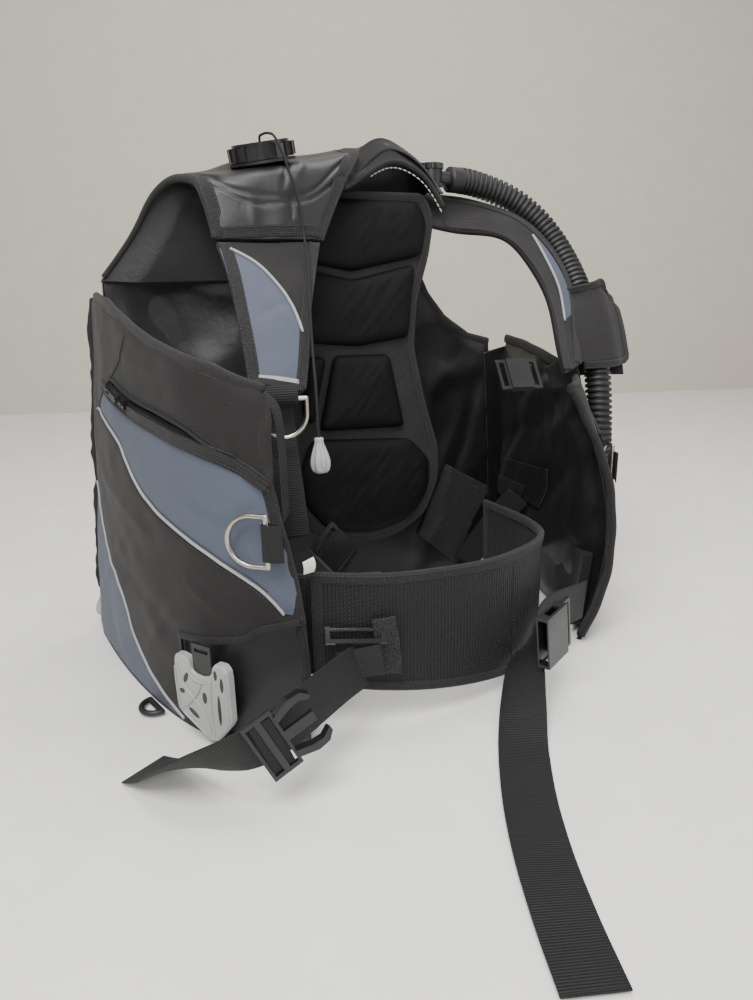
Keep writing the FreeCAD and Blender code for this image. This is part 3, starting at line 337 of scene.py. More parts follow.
def start_material(name, colour, roughness, spread=0.12, sheen=0.0, coat=0.0, metallic=0.0, gloss=0.3):
    """A material whose colour and roughness drift over the piece; returns its node tools."""
    material = bpy.data.materials.new(name)
    material.use_nodes = True
    tree = material.node_tree
    surface = tree.nodes["Principled BSDF"]
    surface.inputs["Metallic"].default_value = metallic
    surface.inputs["Specular IOR Level"].default_value = gloss
    surface.inputs["Sheen Weight"].default_value = sheen
    surface.inputs["Sheen Roughness"].default_value = 0.4
    surface.inputs["Coat Weight"].default_value = coat
    surface.inputs["Coat Roughness"].default_value = 0.3
    place = tree.nodes.new("ShaderNodeTexCoord")
    tools = {"material": material, "tree": tree, "surface": surface, "place": place, "colour": colour}
    drift = noise(tools, 14.0, 6.0, Roughness=0.6)
    low = [c * (1 - spread) for c in colour] + [1]
    high = [min(c * (1 + spread) + 0.002, 1) for c in colour] + [1]
    tools["tint"] = mix(tools, drift, low, high)
    shine = scaled(tools, drift, 0.35, 0.65, roughness - 0.07, roughness + 0.09)
    tree.links.new(shine, surface.inputs["Roughness"])
    return tools


def texture(tools, kind, vector, **values):
    node = tools["tree"].nodes.new("ShaderNodeTex" + kind)
    for key, value in values.items():
        if key in node.inputs:
            node.inputs[key].default_value = value
        else:
            setattr(node, key, value)
    if vector is not None:
        tools["tree"].links.new(vector, node.inputs["Vector"])
    return node.outputs["Fac"] if "Fac" in node.outputs else node.outputs["Distance"]


def noise(tools, scale, detail, **values):
    return texture(tools, "Noise", tools["place"].outputs["Object"], Scale=scale, Detail=detail, **values)


def mix(tools, share, a, b):
    node = tools["tree"].nodes.new("ShaderNodeMix")
    node.data_type = "RGBA"
    for value, socket in ((share, node.inputs[0]), (a, node.inputs[6]), (b, node.inputs[7])):
        if isinstance(value, bpy.types.NodeSocket):
            tools["tree"].links.new(value, socket)
        else:
            socket.default_value = value
    return node.outputs[2]


def scaled(tools, value, low, high, to_low, to_high):
    node = tools["tree"].nodes.new("ShaderNodeMapRange")
    tools["tree"].links.new(value, node.inputs[0])
    for k, v in enumerate((low, high, to_low, to_high)):
        node.inputs[k + 1].default_value = v
    return node.outputs[0]


def combine(tools, how, a, b):
    node = tools["tree"].nodes.new("ShaderNodeMath")
    node.operation = how
    for value, socket in ((a, node.inputs[0]), (b, node.inputs[1])):
        if isinstance(value, bpy.types.NodeSocket):
            tools["tree"].links.new(value, socket)
        else:
            socket.default_value = value
    return node.outputs[0]


def bands(tools, vector, axis, pitch, bend=0.0):
    return texture(tools, "Wave", vector, bands_direction=axis, Scale=0.3142 / pitch, Distortion=bend,
                   Detail=1.0, wave_profile="SIN")


def relief(tools, height, distance, strength=1.0):
    node = tools["tree"].nodes.new("ShaderNodeBump")
    node.inputs["Distance"].default_value = distance
    node.inputs["Strength"].default_value = strength
    tools["tree"].links.new(height, node.inputs["Height"])
    if "normal" in tools:
        tools["tree"].links.new(tools["normal"], node.inputs["Normal"])
    tools["normal"] = node.outputs["Normal"]


def finish_material(tools, colour=None):
    tools["tree"].links.new(colour or tools["tint"], tools["surface"].inputs["Base Color"])
    if "normal" in tools:
        tools["tree"].links.new(tools["normal"], tools["surface"].inputs["Normal"])
    return tools["material"]


def dim(colour, share):
    return [c * share for c in colour[:3]] + [1]


def woven(name, colour, roughness, pitch=0.0009, depth=0.00012, wear=0.35, sheen=0.05, coat=0.0, flat=True,
          crinkle=0.0, gloss=0.3):
    """Plain weave with fuzz and faded places.  flat: threads follow the piece's own length and width."""
    tools = start_material(name, colour, roughness, sheen=sheen, coat=coat, gloss=gloss)
    source = tools["place"].outputs["UV" if flat else "Object"]
    first = bands(tools, source, "X", pitch, 0.6)
    second = bands(tools, source, "Y" if flat else "Z", pitch, 0.6)
    weave = combine(tools, "MULTIPLY", first, second)
    fuzz = noise(tools, 700.0, 3.0)
    speck = scaled(tools, fuzz, 0.55, 0.75, 0.0, 1.0)
    worn = mix(tools, combine(tools, "MULTIPLY", speck, wear), tools["tint"], dim([c + 0.012 for c in colour], 2.0))
    # Painted shade: the gaps between the threads are darkened in the colour.
    shaded_weave = mix(tools, scaled(tools, weave, 0.0, 0.5, 0.35, 0.0), worn, dim(colour, 0.35))
    relief(tools, combine(tools, "ADD", weave, combine(tools, "MULTIPLY", fuzz, 0.5)), depth)
    if crinkle:
        soft = noise(tools, 60.0, 5.0, Distortion=1.2)
        relief(tools, soft, crinkle)
    return finish_material(tools, shaded_weave)


def webbing(name, colour, roughness, flat=True):
    """Flat webbing: ribs across its width, and fine lengthwise threads."""
    tools = start_material(name, colour, roughness, sheen=0.03)
    source = tools["place"].outputs["UV" if flat else "Object"]
    ribs = bands(tools, source, "X" if flat else "Z", WEBBING_RIB, 0.15)
    threads = bands(tools, source, "Y", 0.0011, 0.3)
    fuzz = noise(tools, 900.0, 2.0)
    height = combine(tools, "ADD", ribs, combine(tools, "MULTIPLY", threads, 0.3))
    relief(tools, combine(tools, "ADD", height, combine(tools, "MULTIPLY", fuzz, 0.3)), 0.00035)
    # Painted shade: the grooves between the ribs are darkened in the colour.
    groove_shade = scaled(tools, ribs, 0.0, 0.45, 0.75, 0.0)
    return finish_material(tools, mix(tools, groove_shade, tools["tint"], dim(colour, 0.25)))


def mesh_band(name, colour, roughness):
    """Elastic rib band with a twisted cord in each rib."""
    tools = start_material(name, colour, roughness, sheen=0.04)
    source = tools["place"].outputs["UV"]
    ribs = bands(tools, source, "X", BAND_RIB)
    twist = bands(tools, source, "DIAGONAL", 0.0022, 0.2)
    knit = combine(tools, "MULTIPLY", ribs, combine(tools, "ADD", twist, 0.6))
    relief(tools, knit, 0.0007)
    # Painted shade: the hollows between the ribs and cords are darkened in the colour.
    groove_shade = scaled(tools, knit, 0.0, 0.6, 0.8, 0.0)
    return finish_material(tools, mix(tools, groove_shade, tools["tint"], dim(colour, 0.15)))


def pile(name, colour):
    """Loop fastener: short fuzzy loops."""
    tools = start_material(name, colour, 0.95, sheen=0.12, gloss=0.1)
    loops = texture(tools, "Voronoi", tools["place"].outputs["Object"], Scale=650.0)
    fuzz = noise(tools, 1500.0, 2.0)
    relief(tools, combine(tools, "ADD", loops, fuzz), 0.0006)
    # Painted light and shade: the loop tips are made lighter and the spaces between the loops darker.
    loop_tip_light = scaled(tools, loops, 0.1, 0.6, 0.0, 0.6)
    return finish_material(tools, mix(tools, loop_tip_light, dim(colour, 0.5), dim([c + 0.02 for c in colour], 2.0)))


def mould(name, colour, roughness, grain=0.00006, coat=0.0, wear=0.3):
    """Moulded plastic or rubber: fine grain, faint scuffs and dust."""
    tools = start_material(name, colour, roughness, spread=0.08, coat=coat, gloss=0.5)
    fine = noise(tools, 1400.0, 3.0)
    wavy = noise(tools, 90.0, 2.0)
    scuff = noise(tools, 260.0, 8.0, Roughness=0.75, Distortion=2.5)
    marks = combine(tools, "MULTIPLY", scaled(tools, scuff, 0.6, 0.72, 0.0, 1.0), wear)
    relief(tools, fine, grain)
    relief(tools, wavy, 0.0003, 0.5)
    return finish_material(tools, mix(tools, marks, tools["tint"], dim([c + 0.03 for c in colour], 1.6)))


def metal(name, colour, roughness):
    """Stainless wire, drawn lengthwise, with faint marks."""
    tools = start_material(name, colour, roughness, spread=0.1, metallic=1.0)
    marks = noise(tools, 420.0, 8.0, Roughness=0.7, Distortion=1.5)
    relief(tools, marks, 0.00008)
    dulled = scaled(tools, marks, 0.5, 0.75, 0.0, 0.5)
    return finish_material(tools, mix(tools, dulled, tools["tint"], dim(colour, 0.5)))


CLOTH = (0.0125, 0.0113, 0.0110)
SATIN = (0.0072, 0.0068, 0.0072)
TAPE = (0.0165, 0.0152, 0.0148)
WEB = (0.0098, 0.0094, 0.0098)
GREY_BLUE = (0.082, 0.095, 0.128)
M = {
    "ballistic_black": woven("ballistic_black", CLOTH, 0.74, 0.0010, 0.00018, sheen=0.06),
    "coated_black": woven("coated_black", SATIN, 0.40, 0.0006, 0.00005, wear=0.08, sheen=0.03, coat=0.05,
                          crinkle=0.0005, gloss=0.5),
    "panel_grey": woven("panel_grey", GREY_BLUE, 0.72, 0.0010, 0.00016, wear=0.2, sheen=0.05),
    "piping_silver": woven("piping_silver", (0.34, 0.34, 0.34), 0.45, 0.0008, 0.00008, wear=0.1, sheen=0.0),
    "binding_black": woven("binding_black", TAPE, 0.85, 0.0015, 0.0004, wear=0.9, sheen=0.08),
    "webbing_black": webbing("webbing_black", WEB, 0.62),
    "mesh_black": mesh_band("mesh_black", (0.0115, 0.0110, 0.0115), 0.66),
    "pad_black": woven("pad_black", (0.0040, 0.0040, 0.0045), 0.60, 0.0008, 0.0001, wear=0.10, sheen=0.0,
                       crinkle=0.0002, gloss=0.14),
    "loop_black": pile("loop_black", (0.006, 0.006, 0.0065)),
    "cord_black": woven("cord_black", (0.0095, 0.0095, 0.010), 0.7, 0.0012, 0.0002, flat=False),
    "tag_white": woven("tag_white", (0.72, 0.72, 0.70), 0.7, 0.0005, 0.00004, wear=0.1, sheen=0.0),
    "plastic_black": mould("plastic_black", (0.0085, 0.0085, 0.009), 0.36),
    "plastic_gloss": mould("plastic_gloss", (0.0070, 0.0070, 0.0075), 0.22, coat=0.2),
    "plastic_grey": mould("plastic_grey", (0.33, 0.33, 0.32), 0.42),
    "knob_grey": mould("knob_grey", (0.30, 0.31, 0.31), 0.34),
    "zip_black": mould("zip_black", (0.0075, 0.0075, 0.008), 0.38, grain=0.0001),
    "rubber_black": mould("rubber_black", (0.0080, 0.0080, 0.0083), 0.5, grain=0.0001),
    "steel": metal("steel", (0.42, 0.39, 0.34), 0.30),
}
LOOSE = {
    "ballistic_black": woven("ballistic_solid", CLOTH, 0.74, 0.0010, 0.00018, flat=False),
    "webbing_black": webbing("webbing_solid", WEB, 0.62, flat=False),
    "coated_black": woven("coated_solid", SATIN, 0.42, 0.0006, 0.00005, flat=False, crinkle=0.0004, gloss=0.42),
    "binding_black": woven("binding_solid", TAPE, 0.85, 0.0015, 0.0003, flat=False, sheen=0.10),
}
STITCH = mould("stitch_thread", (0.020, 0.019, 0.019), 0.6)
WHITE_STITCH = mould("pale_thread", (0.50, 0.50, 0.48), 0.6)


# ---------------------------------------------------------------- camera
def make_camera():
    pitch, roll, turn = math.radians(16.7), math.radians(-1.1), math.radians(26.0)
    flat_ahead = np.array([math.sin(turn), math.cos(turn), 0])
    flat_right = np.array([math.cos(turn), -math.sin(turn), 0])
    ahead = flat_ahead * math.cos(pitch) - UP * math.sin(pitch)
    lift = flat_ahead * math.sin(pitch) + UP * math.cos(pitch)
    x = math.cos(roll) * flat_right + math.sin(roll) * lift
    y = -math.sin(roll) * flat_right + math.cos(roll) * lift
    data = bpy.data.cameras.new("camera")
    data.sensor_width = 36.0
    data.lens = 26.64
    camera = bpy.data.objects.new("camera", data)
    bpy.context.scene.collection.objects.link(camera)
    rows = [[x[i], y[i], -ahead[i], (-0.405, -0.889, 0.460)[i]] for i in range(3)] + [[0, 0, 0, 1]]
    camera.matrix_world = Matrix(rows)
    bpy.context.scene.camera = camera


make_camera()


# ---------------------------------------------------------------- cords, belts and hose
DUMP_CORD_ROUTE = [(-111.5, 54.6, 605.7), (-113.4, 53.5, 616.5), (-112, 33, 617), (-110, 11, 612), (-104, 7, 596),
                   (-98, 6, 579), (-93, 0, 560), (-89, -2, 540), (-87.5, -4, 516), (-89, -18, 490),
                   (-97, -41, 458), (-106, -64, 422), (-114, -87, 384), (-121, -110, 350), (-124, -118, 320),
                   (-124, -120, 296)]
REAR_CORD_ROUTE = [(-282, 209, 112), (-297, 210, 110), (-309, 211, 99), (-318, 211, 82), (-324, 209, 63),
                   (-328, 205, 43)]
HOSE_ROUTE = [(163, 92, 585), (191, 93, 584), (222, 87, 576), (254, 73, 561), (281, 52, 534), (297, 30, 502),
              (304, 4, 466), (302, -24, 430), (297, -50, 391), (292, -72, 350), (288, -84, 316), (286, -90, 283),
              (288, -91, 249), (296, -84, 216), (308, -70, 186), (315, -56, 156.5)]
RIGHT_BELT_ROUTE = [(-122, -214, 82), (-148, -229, 83), (-180, -247, 81), (-214, -264, 76), (-245, -276, 69),
                    (-276, -272, 60), (-302, -250, 46), (-319, -222, 29), (-331, -196, 13), (-343, -172, 4)]
RIGHT_BELT_ACROSS = [(0.30, 0.0, -0.95), (0.31, 0.0, -0.95), (0.33, 0.0, -0.94), (0.35, 0.0, -0.93),
                     (0.40, 0.05, -0.91), (0.50, 0.15, -0.85), (0.62, 0.30, -0.66), (0.74, 0.40, -0.36),
                     (0.82, 0.46, -0.10), (0.86, 0.48, 0.0)]
LEFT_BELT_ROUTE = [(205, -173, 66), (182, -183, 70), (156, -192, 74), (129, -200, 77), (103, -210, 74),
                   (82, -222, 62), (66, -237, 45), (50, -256, 27), (32, -280, 13), (8, -312, 5),
                   (-20, -354, 4), (-50, -404, 4), (-76, -456, 4), (-98, -508, 4), (-116, -556, 4)]
LEFT_BELT_ACROSS = [(0.0, 0.0, 1.0), (0.0, 0.0, 1.0), (0.05, 0.0, 1.0), (0.1, 0.0, 1.0), (0.2, -0.05, 0.97),
                    (0.40, -0.1, 0.90), (0.60, -0.2, 0.75), (0.75, -0.3, 0.50), (0.85, -0.4, 0.22),
                    (0.88, -0.45, 0.04), (0.87, -0.49, 0.0), (0.87, -0.49, 0.0), (0.89, -0.45, 0.0),
                    (0.92, -0.38, 0.0), (0.94, -0.34, 0.0)]


def make_cord(name, route, body, node, bend):
    """Thin pull cord along its route, baked in place and not attached to its knob."""
    path = even(rounded(route), 2.0)
    start, end = metres([route[bend], route[-1]])
    obj = strip(name, path, (0.2, 1.0, 0.1), round_section(1.4, 10), "cord_black",
                body=(BODY, body, tuple(start), tuple(end)), replaces=[node])


def make_belt(name, route, acrosses, node):
    """Waist webbing, its width turning as given at each route point."""
    run = lengths(np.array(route, float))
    path = even(rounded(route), STEP)
    place = lengths(path) / lengths(path)[-1] * run[-1]
    across = np.stack([np.interp(place, run, np.array(acrosses)[:, k]) for k in range(3)], -1)
    lift = frames(path, across)[2]
    bow = waves(place, place * 0, 3, 90, 0.5)[:, None]
    obj = strip(name, path + lift * bow * ramp(place, 0, 60)[:, None] * 0.6, across, flat_section(50, 2.0),
                "webbing_black", replaces=[node])


make_belt("right_belt_visual", RIGHT_BELT_ROUTE, RIGHT_BELT_ACROSS, "right_waist_strap")
make_belt("left_belt_visual", LEFT_BELT_ROUTE, LEFT_BELT_ACROSS, "left_waist_strap")

HOSE_PITCH = 7.4


def make_hose():
    path = even(rounded(HOSE_ROUTE), HOSE_PITCH / 10)
    run = lengths(path)
    wave = np.cos(run / HOSE_PITCH * 2 * math.pi)
    cuff = np.minimum(ramp(run, 0, 16), ramp(run[-1] - run, 0, 16))
    radius = np.where(cuff < 1, 16.4, 15.3 + 1.7 * np.tanh(3.2 * (wave + 0.42)))
    profile = round_section(1.0, 28)[None] * radius[:, None, None]
    obj = strip("hose_visual", path, UP + np.array([0.3, 0.2, 0]), profile, "rubber_black",
                replaces=["inflator_hose"])
    return path


hose_path = make_hose()


# ---------------------------------------------------------------- upright walls of cloth
def upright(low, high, height):
    """A wall between its plan at the floor and its plan at `height`, by share of its run and height."""
    low, high = spline(low), spline(high)

    def at(s, z):
        s, z = np.broadcast_arrays(np.asarray(s, float), np.asarray(z, float))
        t = (z / height)[..., None]
        return np.concatenate([low(s) * (1 - t) + high(s) * t, z[..., None]], -1)
    return at


def facing(surface, sign, level):
    """The wall's outward direction by share and height, and the same nearest to each of some points."""
    def outward(s, z):
        ahead = surface(np.minimum(s + 0.01, 1), z) - surface(np.maximum(s - 0.01, 0), z)
        return sign * unit(np.cross(ahead, UP))

    def nearest(points):
        shares = np.linspace(0, 1, 200)
        base = surface(shares, np.full(200, level))[:, :2]
        index = np.argmin(np.linalg.norm(points[:, None, :2] - base[None], axis=2), axis=1)
        return outward(shares[index], np.full(len(points), level))
    return outward, nearest


def top_of(surface, edge, guess):
    """Height of the wall's top edge, whose table goes by depth, at a share of its run."""
    def top(s):
        z = np.full(np.shape(s), guess)
        for _ in range(4):
            z = line_at(edge, surface(s, z)[..., 1])
        return z
    return top


def between(grid):
    """Middles of a grid's cells."""
    return (grid[:-1, :-1] + grid[1:, 1:]) / 2


def clear_floor(points, height=FLOOR_GAP):
    points[..., 2] = np.maximum(points[..., 2], height)


# ---------------------------------------------------------------- right wing
RIGHT_FLOOR = [(-340, 165), (-334, 100), (-320, 10), (-297, -80), (-262, -155), (-222, -195), (-182, -212)]
RIGHT_HIGH = [(-300, 150), (-300, 95), (-292, 10), (-273, -75), (-245, -145), (-212, -180), (-180, -195)]
RIGHT_TOP_EDGE = [(-260, 330), (-204, 345), (-186, 371), (-155, 387), (-68, 406), (65, 442), (210, 452)]
RIGHT_RUN = 470.0
PIPE_ONE = [(0.09, 315), (0.268, 299.4), (0.393, 273.8), (0.489, 248), (0.597, 230.3), (0.695, 218), (0.801, 200.2),
            (0.889, 181.2), (0.923, 168.9), (0.955, 150)]
PIPE_TWO = [(0.0, 216), (0.037, 200), (0.109, 161.4), (0.224, 130), (0.33, 96.8), (0.396, 59.4), (0.489, 34.2),
            (0.581, 16.7), (0.64, 6)]
ZIP_LOW = [(0.19, 343), (0.412, 326), (0.632, 313), (0.776, 303), (0.876, 289), (0.94, 270)]
ZIP_HIGH = [(0.27, 354), (0.281, 356), (0.419, 345.6), (0.638, 333), (0.793, 313), (0.877, 296), (0.94, 275)]
REAR_SEAM = [(0.09, 315), (0.199, 342), (0.325, 369), (0.432, 408)]
FRONT_EDGE = [(0, 1.0), (100, 1.0), (144, 0.995), (181, 0.983), (232, 0.958), (268, 0.94), (327, 0.945), (363, 0.93),
              (400, 0.93)]
POUCH_TOP = [(0.655, 108), (0.862, 124), (0.907, 135), (0.99, 142)]
POUCH_REAR, POUCH_FOOT = 0.662, 7
ZIP_START, LOWER_PIPE_END = 0.24, 0.64
SEAM_START, SEAM_LEVEL = 0.09, 315
BALLISTIC, GREY, ZIP_GAP_SHADE, COATED = range(4)
RIGHT_FOLDS = [((60, 240), (250, 205), 9, 1.6), ((120, 150), (300, 110), 12, -1.4), ((330, 170), (420, 120), 8, 1.8),
               ((40, 90), (140, 160), 10, 1.2), ((300, 260), (420, 225), 9, -1.2), ((230, 70), (300, 140), 9, 1.3),
               ((390, 330), (440, 250), 6, -1.6), ((150, 395), (330, 365), 8, 0.9), ((410, 215), (450, 165), 6, 1.6)]


right_surface = upright(RIGHT_FLOOR, RIGHT_HIGH, 450.0)
right_outward, right_normals = facing(right_surface, 1, 220.0)
right_top = top_of(right_surface, RIGHT_TOP_EDGE, 400.0)


def raised(table, height):
    return [(s, z + height) for s, z in table]


def bent(table, s):
    """Height of a seam line at s, smoothed."""
    return line_at(spline(table)(np.linspace(0, 1, 200)), s)


def right_relief(s, z, top):
    x = s * RIGHT_RUN
    one, two = bent(PIPE_ONE, s), bent(PIPE_TWO, s)
    low, high = bent(ZIP_LOW, s), bent(ZIP_HIGH, s)
    bulge = 3.2 + 2.2 * np.sin(np.clip((z - 20) / 330, 0, 1) * math.pi) * np.sin(np.clip(s, 0, 1) * math.pi)
    bulge = bulge + waves(x, z, 11, 150, 1.1) + waves(x, z, 12, 52, 0.35)
    bulge = bulge - 1.6 * near(z, one, 5) * (s > SEAM_START) - 1.3 * near(z, two, 5) * (s < LOWER_PIPE_END)
    inside = (s > ZIP_START) & (z > low + 11) & (z < high)
    open_share = ramp(s, ZIP_START, 0.30) * (1 - ramp(s, 0.60, 0.93) * 0.55)
    gap = np.where(inside, np.sin(np.clip((z - low - 11) / np.maximum(high - low - 11, 1), 0, 1) * math.pi), 0)
    bulge = bulge - 9.0 * gap * open_share
    bulge = bulge + 1.8 * near(z, low + 6, 9) * ramp(s, 0.2, 0.3)
    bulge = folded(bulge, x, z, RIGHT_FOLDS)
    edge = np.minimum.reduce([(s - POUCH_REAR) * RIGHT_RUN, bent(POUCH_TOP, s) - z, z - POUCH_FOOT])
    bulge = np.where(edge > 0, bulge - 7.5 * ramp(edge, 0, 5), bulge)
    return bulge * ramp(z, -4, 26) * ramp(top - z, -3, 16)


def make_right_wing():
    u, v = shares(170, 150)
    s = u * line_at(FRONT_EDGE, v * right_top(u))
    top = right_top(s)
    z = v * top
    outward = right_outward(s, z)
    skin = right_surface(s, z) + outward * right_relief(s, z, top)[..., None]
    clear_floor(skin)
    thick = 6 + 20 * ramp(1 - u, 0, 0.16) * ramp(top - z, 0, 60) * ramp(z, -30, 40)
    inside = skin - outward * np.maximum(thick, 5)[..., None]
    inside = inside - outward * (waves(s * RIGHT_RUN, z, 15, 70, 1.5) * ramp(thick, 6, 20))[..., None]
    sm, zm = between(s), between(z)
    low, high = bent(ZIP_LOW, sm), bent(ZIP_HIGH, sm)
    kinds = np.full(sm.shape, BALLISTIC)
    seam_rear = line_at([(height, share) for share, height in REAR_SEAM], zm)
    kinds[(zm > bent(PIPE_ONE, sm)) & (zm < low) & (sm > np.where(zm > SEAM_LEVEL, seam_rear, SEAM_START))] = GREY
    kinds[(zm < bent(PIPE_TWO, sm)) & (sm < LOWER_PIPE_END)] = GREY
    kinds[zm < 5] = BALLISTIC
    # Painted shade: the open zip's gap takes the darker rubber_black material for the shade inside it.
    kinds[(sm > ZIP_START) & (zm > low + 9) & (zm < high)] = ZIP_GAP_SHADE
    kinds[(sm > POUCH_REAR) & (zm < bent(POUCH_TOP, sm)) & (zm > POUCH_FOOT)] = COATED
    materials = [M[name] for name in ("ballistic_black", "panel_grey", "rubber_black", "coated_black")]
    shell("right_wing_cloth", skin, inside, materials, kinds, inner_kind=COATED, uv=np.stack([s * RIGHT_RUN, z], -1),
          replaces=["right_wing", "right_pocket_panel"], slot="ballistic_black", fill=0.55)
    rim = (skin + inside) / 2
    return rim[:, -1], rim[-1], rim[:, 0]


def on_right(table, lift):
    """Points lying `lift` off the right wing's cloth along a seam table of (share, height)."""
    path = spline(table)(np.linspace(0, 1, 300))
    s, z = path[:, 0], path[:, 1]
    points = right_surface(s, z) + right_outward(s, z) * (right_relief(s, z, right_top(s)) + lift)[:, None]
    return even(points, STEP)


rim_top, rim_front, rim_foot = make_right_wing()


def pipe(name, path, normals, radius=PIPE_RADIUS, material="piping_silver"):
    strip(name, path, normals, round_section(radius, 10), material)


def wing_pipes(side, on, normals, upper, lift):
    """The two silver pipings of a wing, clear of the floor."""
    for label, table in (("upper", upper), ("lower", PIPE_TWO)):
        path = on(table, lift)
        clear_floor(path, 4)
        pipe("%s_piping_%s" % (side, label), path, normals(path))


wing_pipes("right", on_right, right_normals, PIPE_ONE, 0.9)
for label, table, offset in (("upper", PIPE_ONE, -5), ("upper_b", PIPE_ONE, 5), ("lower", PIPE_TWO, 5)):
    seam = on_right(raised(table[:-1], offset), 0.1)
    stitches("right_seam_" + label, seam, right_normals(seam), STITCH)
seam = on_right(REAR_SEAM, 0.0)
strip("right_rear_seam", seam, right_normals(seam), round_section(1.0, 8), "binding_black")
stitches("right_rear_stitch", on_right([(s + 0.012, z) for s, z in REAR_SEAM], 0.1),
         right_normals(on_right(REAR_SEAM, 0.1)), STITCH)


def flat_tape(name, path, out):
    """The zip's cover tape, lying flat on the cloth."""
    strip(name, path, np.cross(out, unit(np.gradient(path, axis=0))), flat_section(13, 1.3), "binding_black")


path = on_right(raised(ZIP_LOW, 5.5), 1.0)
zip_out = right_normals(path)
flat_tape("zip_lower_binding", path, zip_out)
stitches("zip_binding_stitch", on_right(raised(ZIP_LOW, 2), 2.0), zip_out, STITCH)
stitches("zip_binding_stitch_b", on_right(raised(ZIP_LOW, 9), 2.0), zip_out, STITCH)


TOOTH_PITCH = 2.4


def make_teeth(name, path):
    """A coil zip half: a cord with a raised loop at every tooth."""
    fine = even(path, TOOTH_PITCH / 4)
    run = lengths(fine)
    size = 1.15 + 0.6 * np.cos(run / TOOTH_PITCH * 2 * math.pi)
    return strip(name, fine, UP, round_section(1, 10)[None] * size[:, None, None], "zip_black")


make_teeth("right_zip_coil", on_right(raised(ZIP_HIGH, -2.0), 0.4))
make_teeth("right_zip_coil_low", on_right(raised(ZIP_LOW[1:], 13.0), 0.2))
upper_fold = on_right(raised(ZIP_HIGH, 1.5), 0.7)
pipe("right_zip_garage", upper_fold, right_normals(upper_fold), material="ballistic_black")
stitches("right_zip_stitch", on_right(raised(ZIP_HIGH, 6), 0.2), right_normals(upper_fold), STITCH)


def binding(name, path, across, depth, thick, wobble, seed):
    """Tape folded over an edge: `across` points away from the edge, in the cloth."""
    run = lengths(path)
    lift = frames(path, across)[2]
    path = path + lift * waves(run, run * 0, seed, 55, wobble)[:, None]
    strip(name, path, across, flat_section(depth, thick, ROUND_EDGE), "binding_black")


def foot_binding(name, rim, seed):
    path = even(rim, 4.0)
    path[:, 2] = 4.5
    binding(name, path, UP, 8, 11, 0.2, seed)


top_path = even(rim_top, STEP)
binding("right_top_binding", top_path - UP * 5, UP, 14, 9, 0.5, 2)
for k in (-1, 1):
    row = top_path - UP * 9 + right_normals(top_path) * k * 4.7
    stitches("right_top_stitch_%d" % k, row, right_normals(row) * k, STITCH)
front_path = even(rim_front[8:-2], STEP)
front_way = unit(np.array([0.75, -0.62, 0.0]))
binding("right_front_binding", front_path - front_way * 3, front_way, 13, 8.5, 1.2, 5)
foot_binding("right_foot_binding", rim_foot[4:-4], 6)

flap = on_right(POUCH_TOP, 0.8)
strip("pouch_flap_edge", flap, right_normals(flap), flat_section(2.6, 7), "binding_black")
frame_path = on_right([(POUCH_REAR, 12), (POUCH_REAR + 0.002, 60), (POUCH_REAR, 107)], 0.5)
strip("pouch_frame_rear", frame_path, right_normals(frame_path), flat_section(3.0, 2.2), "plastic_black")
lip_path = on_right([(0.93, 12), (0.932, 60), (0.93, 112)], -3.0)
strip("pouch_frame_front", lip_path, right_normals(lip_path), flat_section(2.4, 9), "webbing_black")


# ---------------------------------------------------------------- left wing, seen from inside
LEFT_PLANS = [
    [(338, 165), (324, 110), (303, 40), (283, -30), (266, -95), (245, -140), (216, -160)],
    [(330, 160), (318, 108), (300, 40), (284, -30), (271, -95), (262, -138), (250, -165)],
    [(315, 152), (305, 100), (290, 30), (272, -35), (250, -80), (226, -108), (203, -117)],
]
LEFT_TOP_EDGE = [(-200, 322), (-117, 331), (-70, 339), (0, 350), (90, 364), (210, 374)]
left_curves = [spline(plan) for plan in LEFT_PLANS]
LEFT_RUN = 350.0
LEFT_DROP = -22


def left_surface(s, z):
    s, z = np.broadcast_arrays(np.asarray(s, float), np.asarray(z, float))
    t = (z / 172.5)[..., None]
    a, b, c = [curve_at(s) for curve_at in left_curves]
    flat = a * (t - 1) * (t - 2) / 2 - b * t * (t - 2) + c * t * (t - 1) / 2
    return np.concatenate([flat, z[..., None]], -1)


left_outward, left_normals = facing(left_surface, -1, 170.0)
left_top = top_of(left_surface, LEFT_TOP_EDGE, 345.0)


def lining_relief(x, z, seed):
    """Soft satin lining: broad billows with a few sharper creases."""
    billow = waves(x, z, seed, 190, 3.6, 1.3) + waves(x, z, seed + 1, 80, 1.2, 1.6)
    ridge = waves(x, z, seed + 2, 130, 1.0, 2.4)
    return billow + 2.2 * (1 - np.abs(np.tanh(ridge * 1.2))) - 1.0


LEFT_FOLDS = [((60, 60), (300, 240), 18, 6.0), ((120, 30), (330, 150), 15, -5.0), ((20, 200), (260, 300), 20, 6.0),
              ((200, 250), (340, 300), 13, -5.0), ((250, 80), (340, 210), 14, 5.5), ((30, 120), (180, 330), 16, -5.0),
              ((280, 290), (345, 215), 11, 5.0), ((90, 280), (200, 345), 13, 4.5)]


def left_skin(u, z):
    x = u * LEFT_RUN
    ease = ramp(z, -4, 24) * ramp(left_top(u) - z, -3, 18) * ramp(1 - u, -0.02, 0.05)
    lift = (3.4 + waves(x, z, 31, 140, 1.2) + waves(x, z, 32, 50, 0.5)) * ease
    return left_surface(u, z) + left_outward(u, z) * lift[..., None], ease


def left_lining(u, z):
    """Inner face of the left wing, with the folds of its lining."""
    x = u * LEFT_RUN
    skin, ease = left_skin(u, z)
    thick = 6 + 22 * ramp(1 - u, 0, 0.2) * ramp(left_top(u) - z, 0, 55) * ramp(z, -30, 30)
    folds = folded(lining_relief(x, z, 33), x, z, LEFT_FOLDS)
    return skin - left_outward(u, z) * np.maximum(thick - folds * ease * ramp(thick, 5, 20), 5)[..., None]


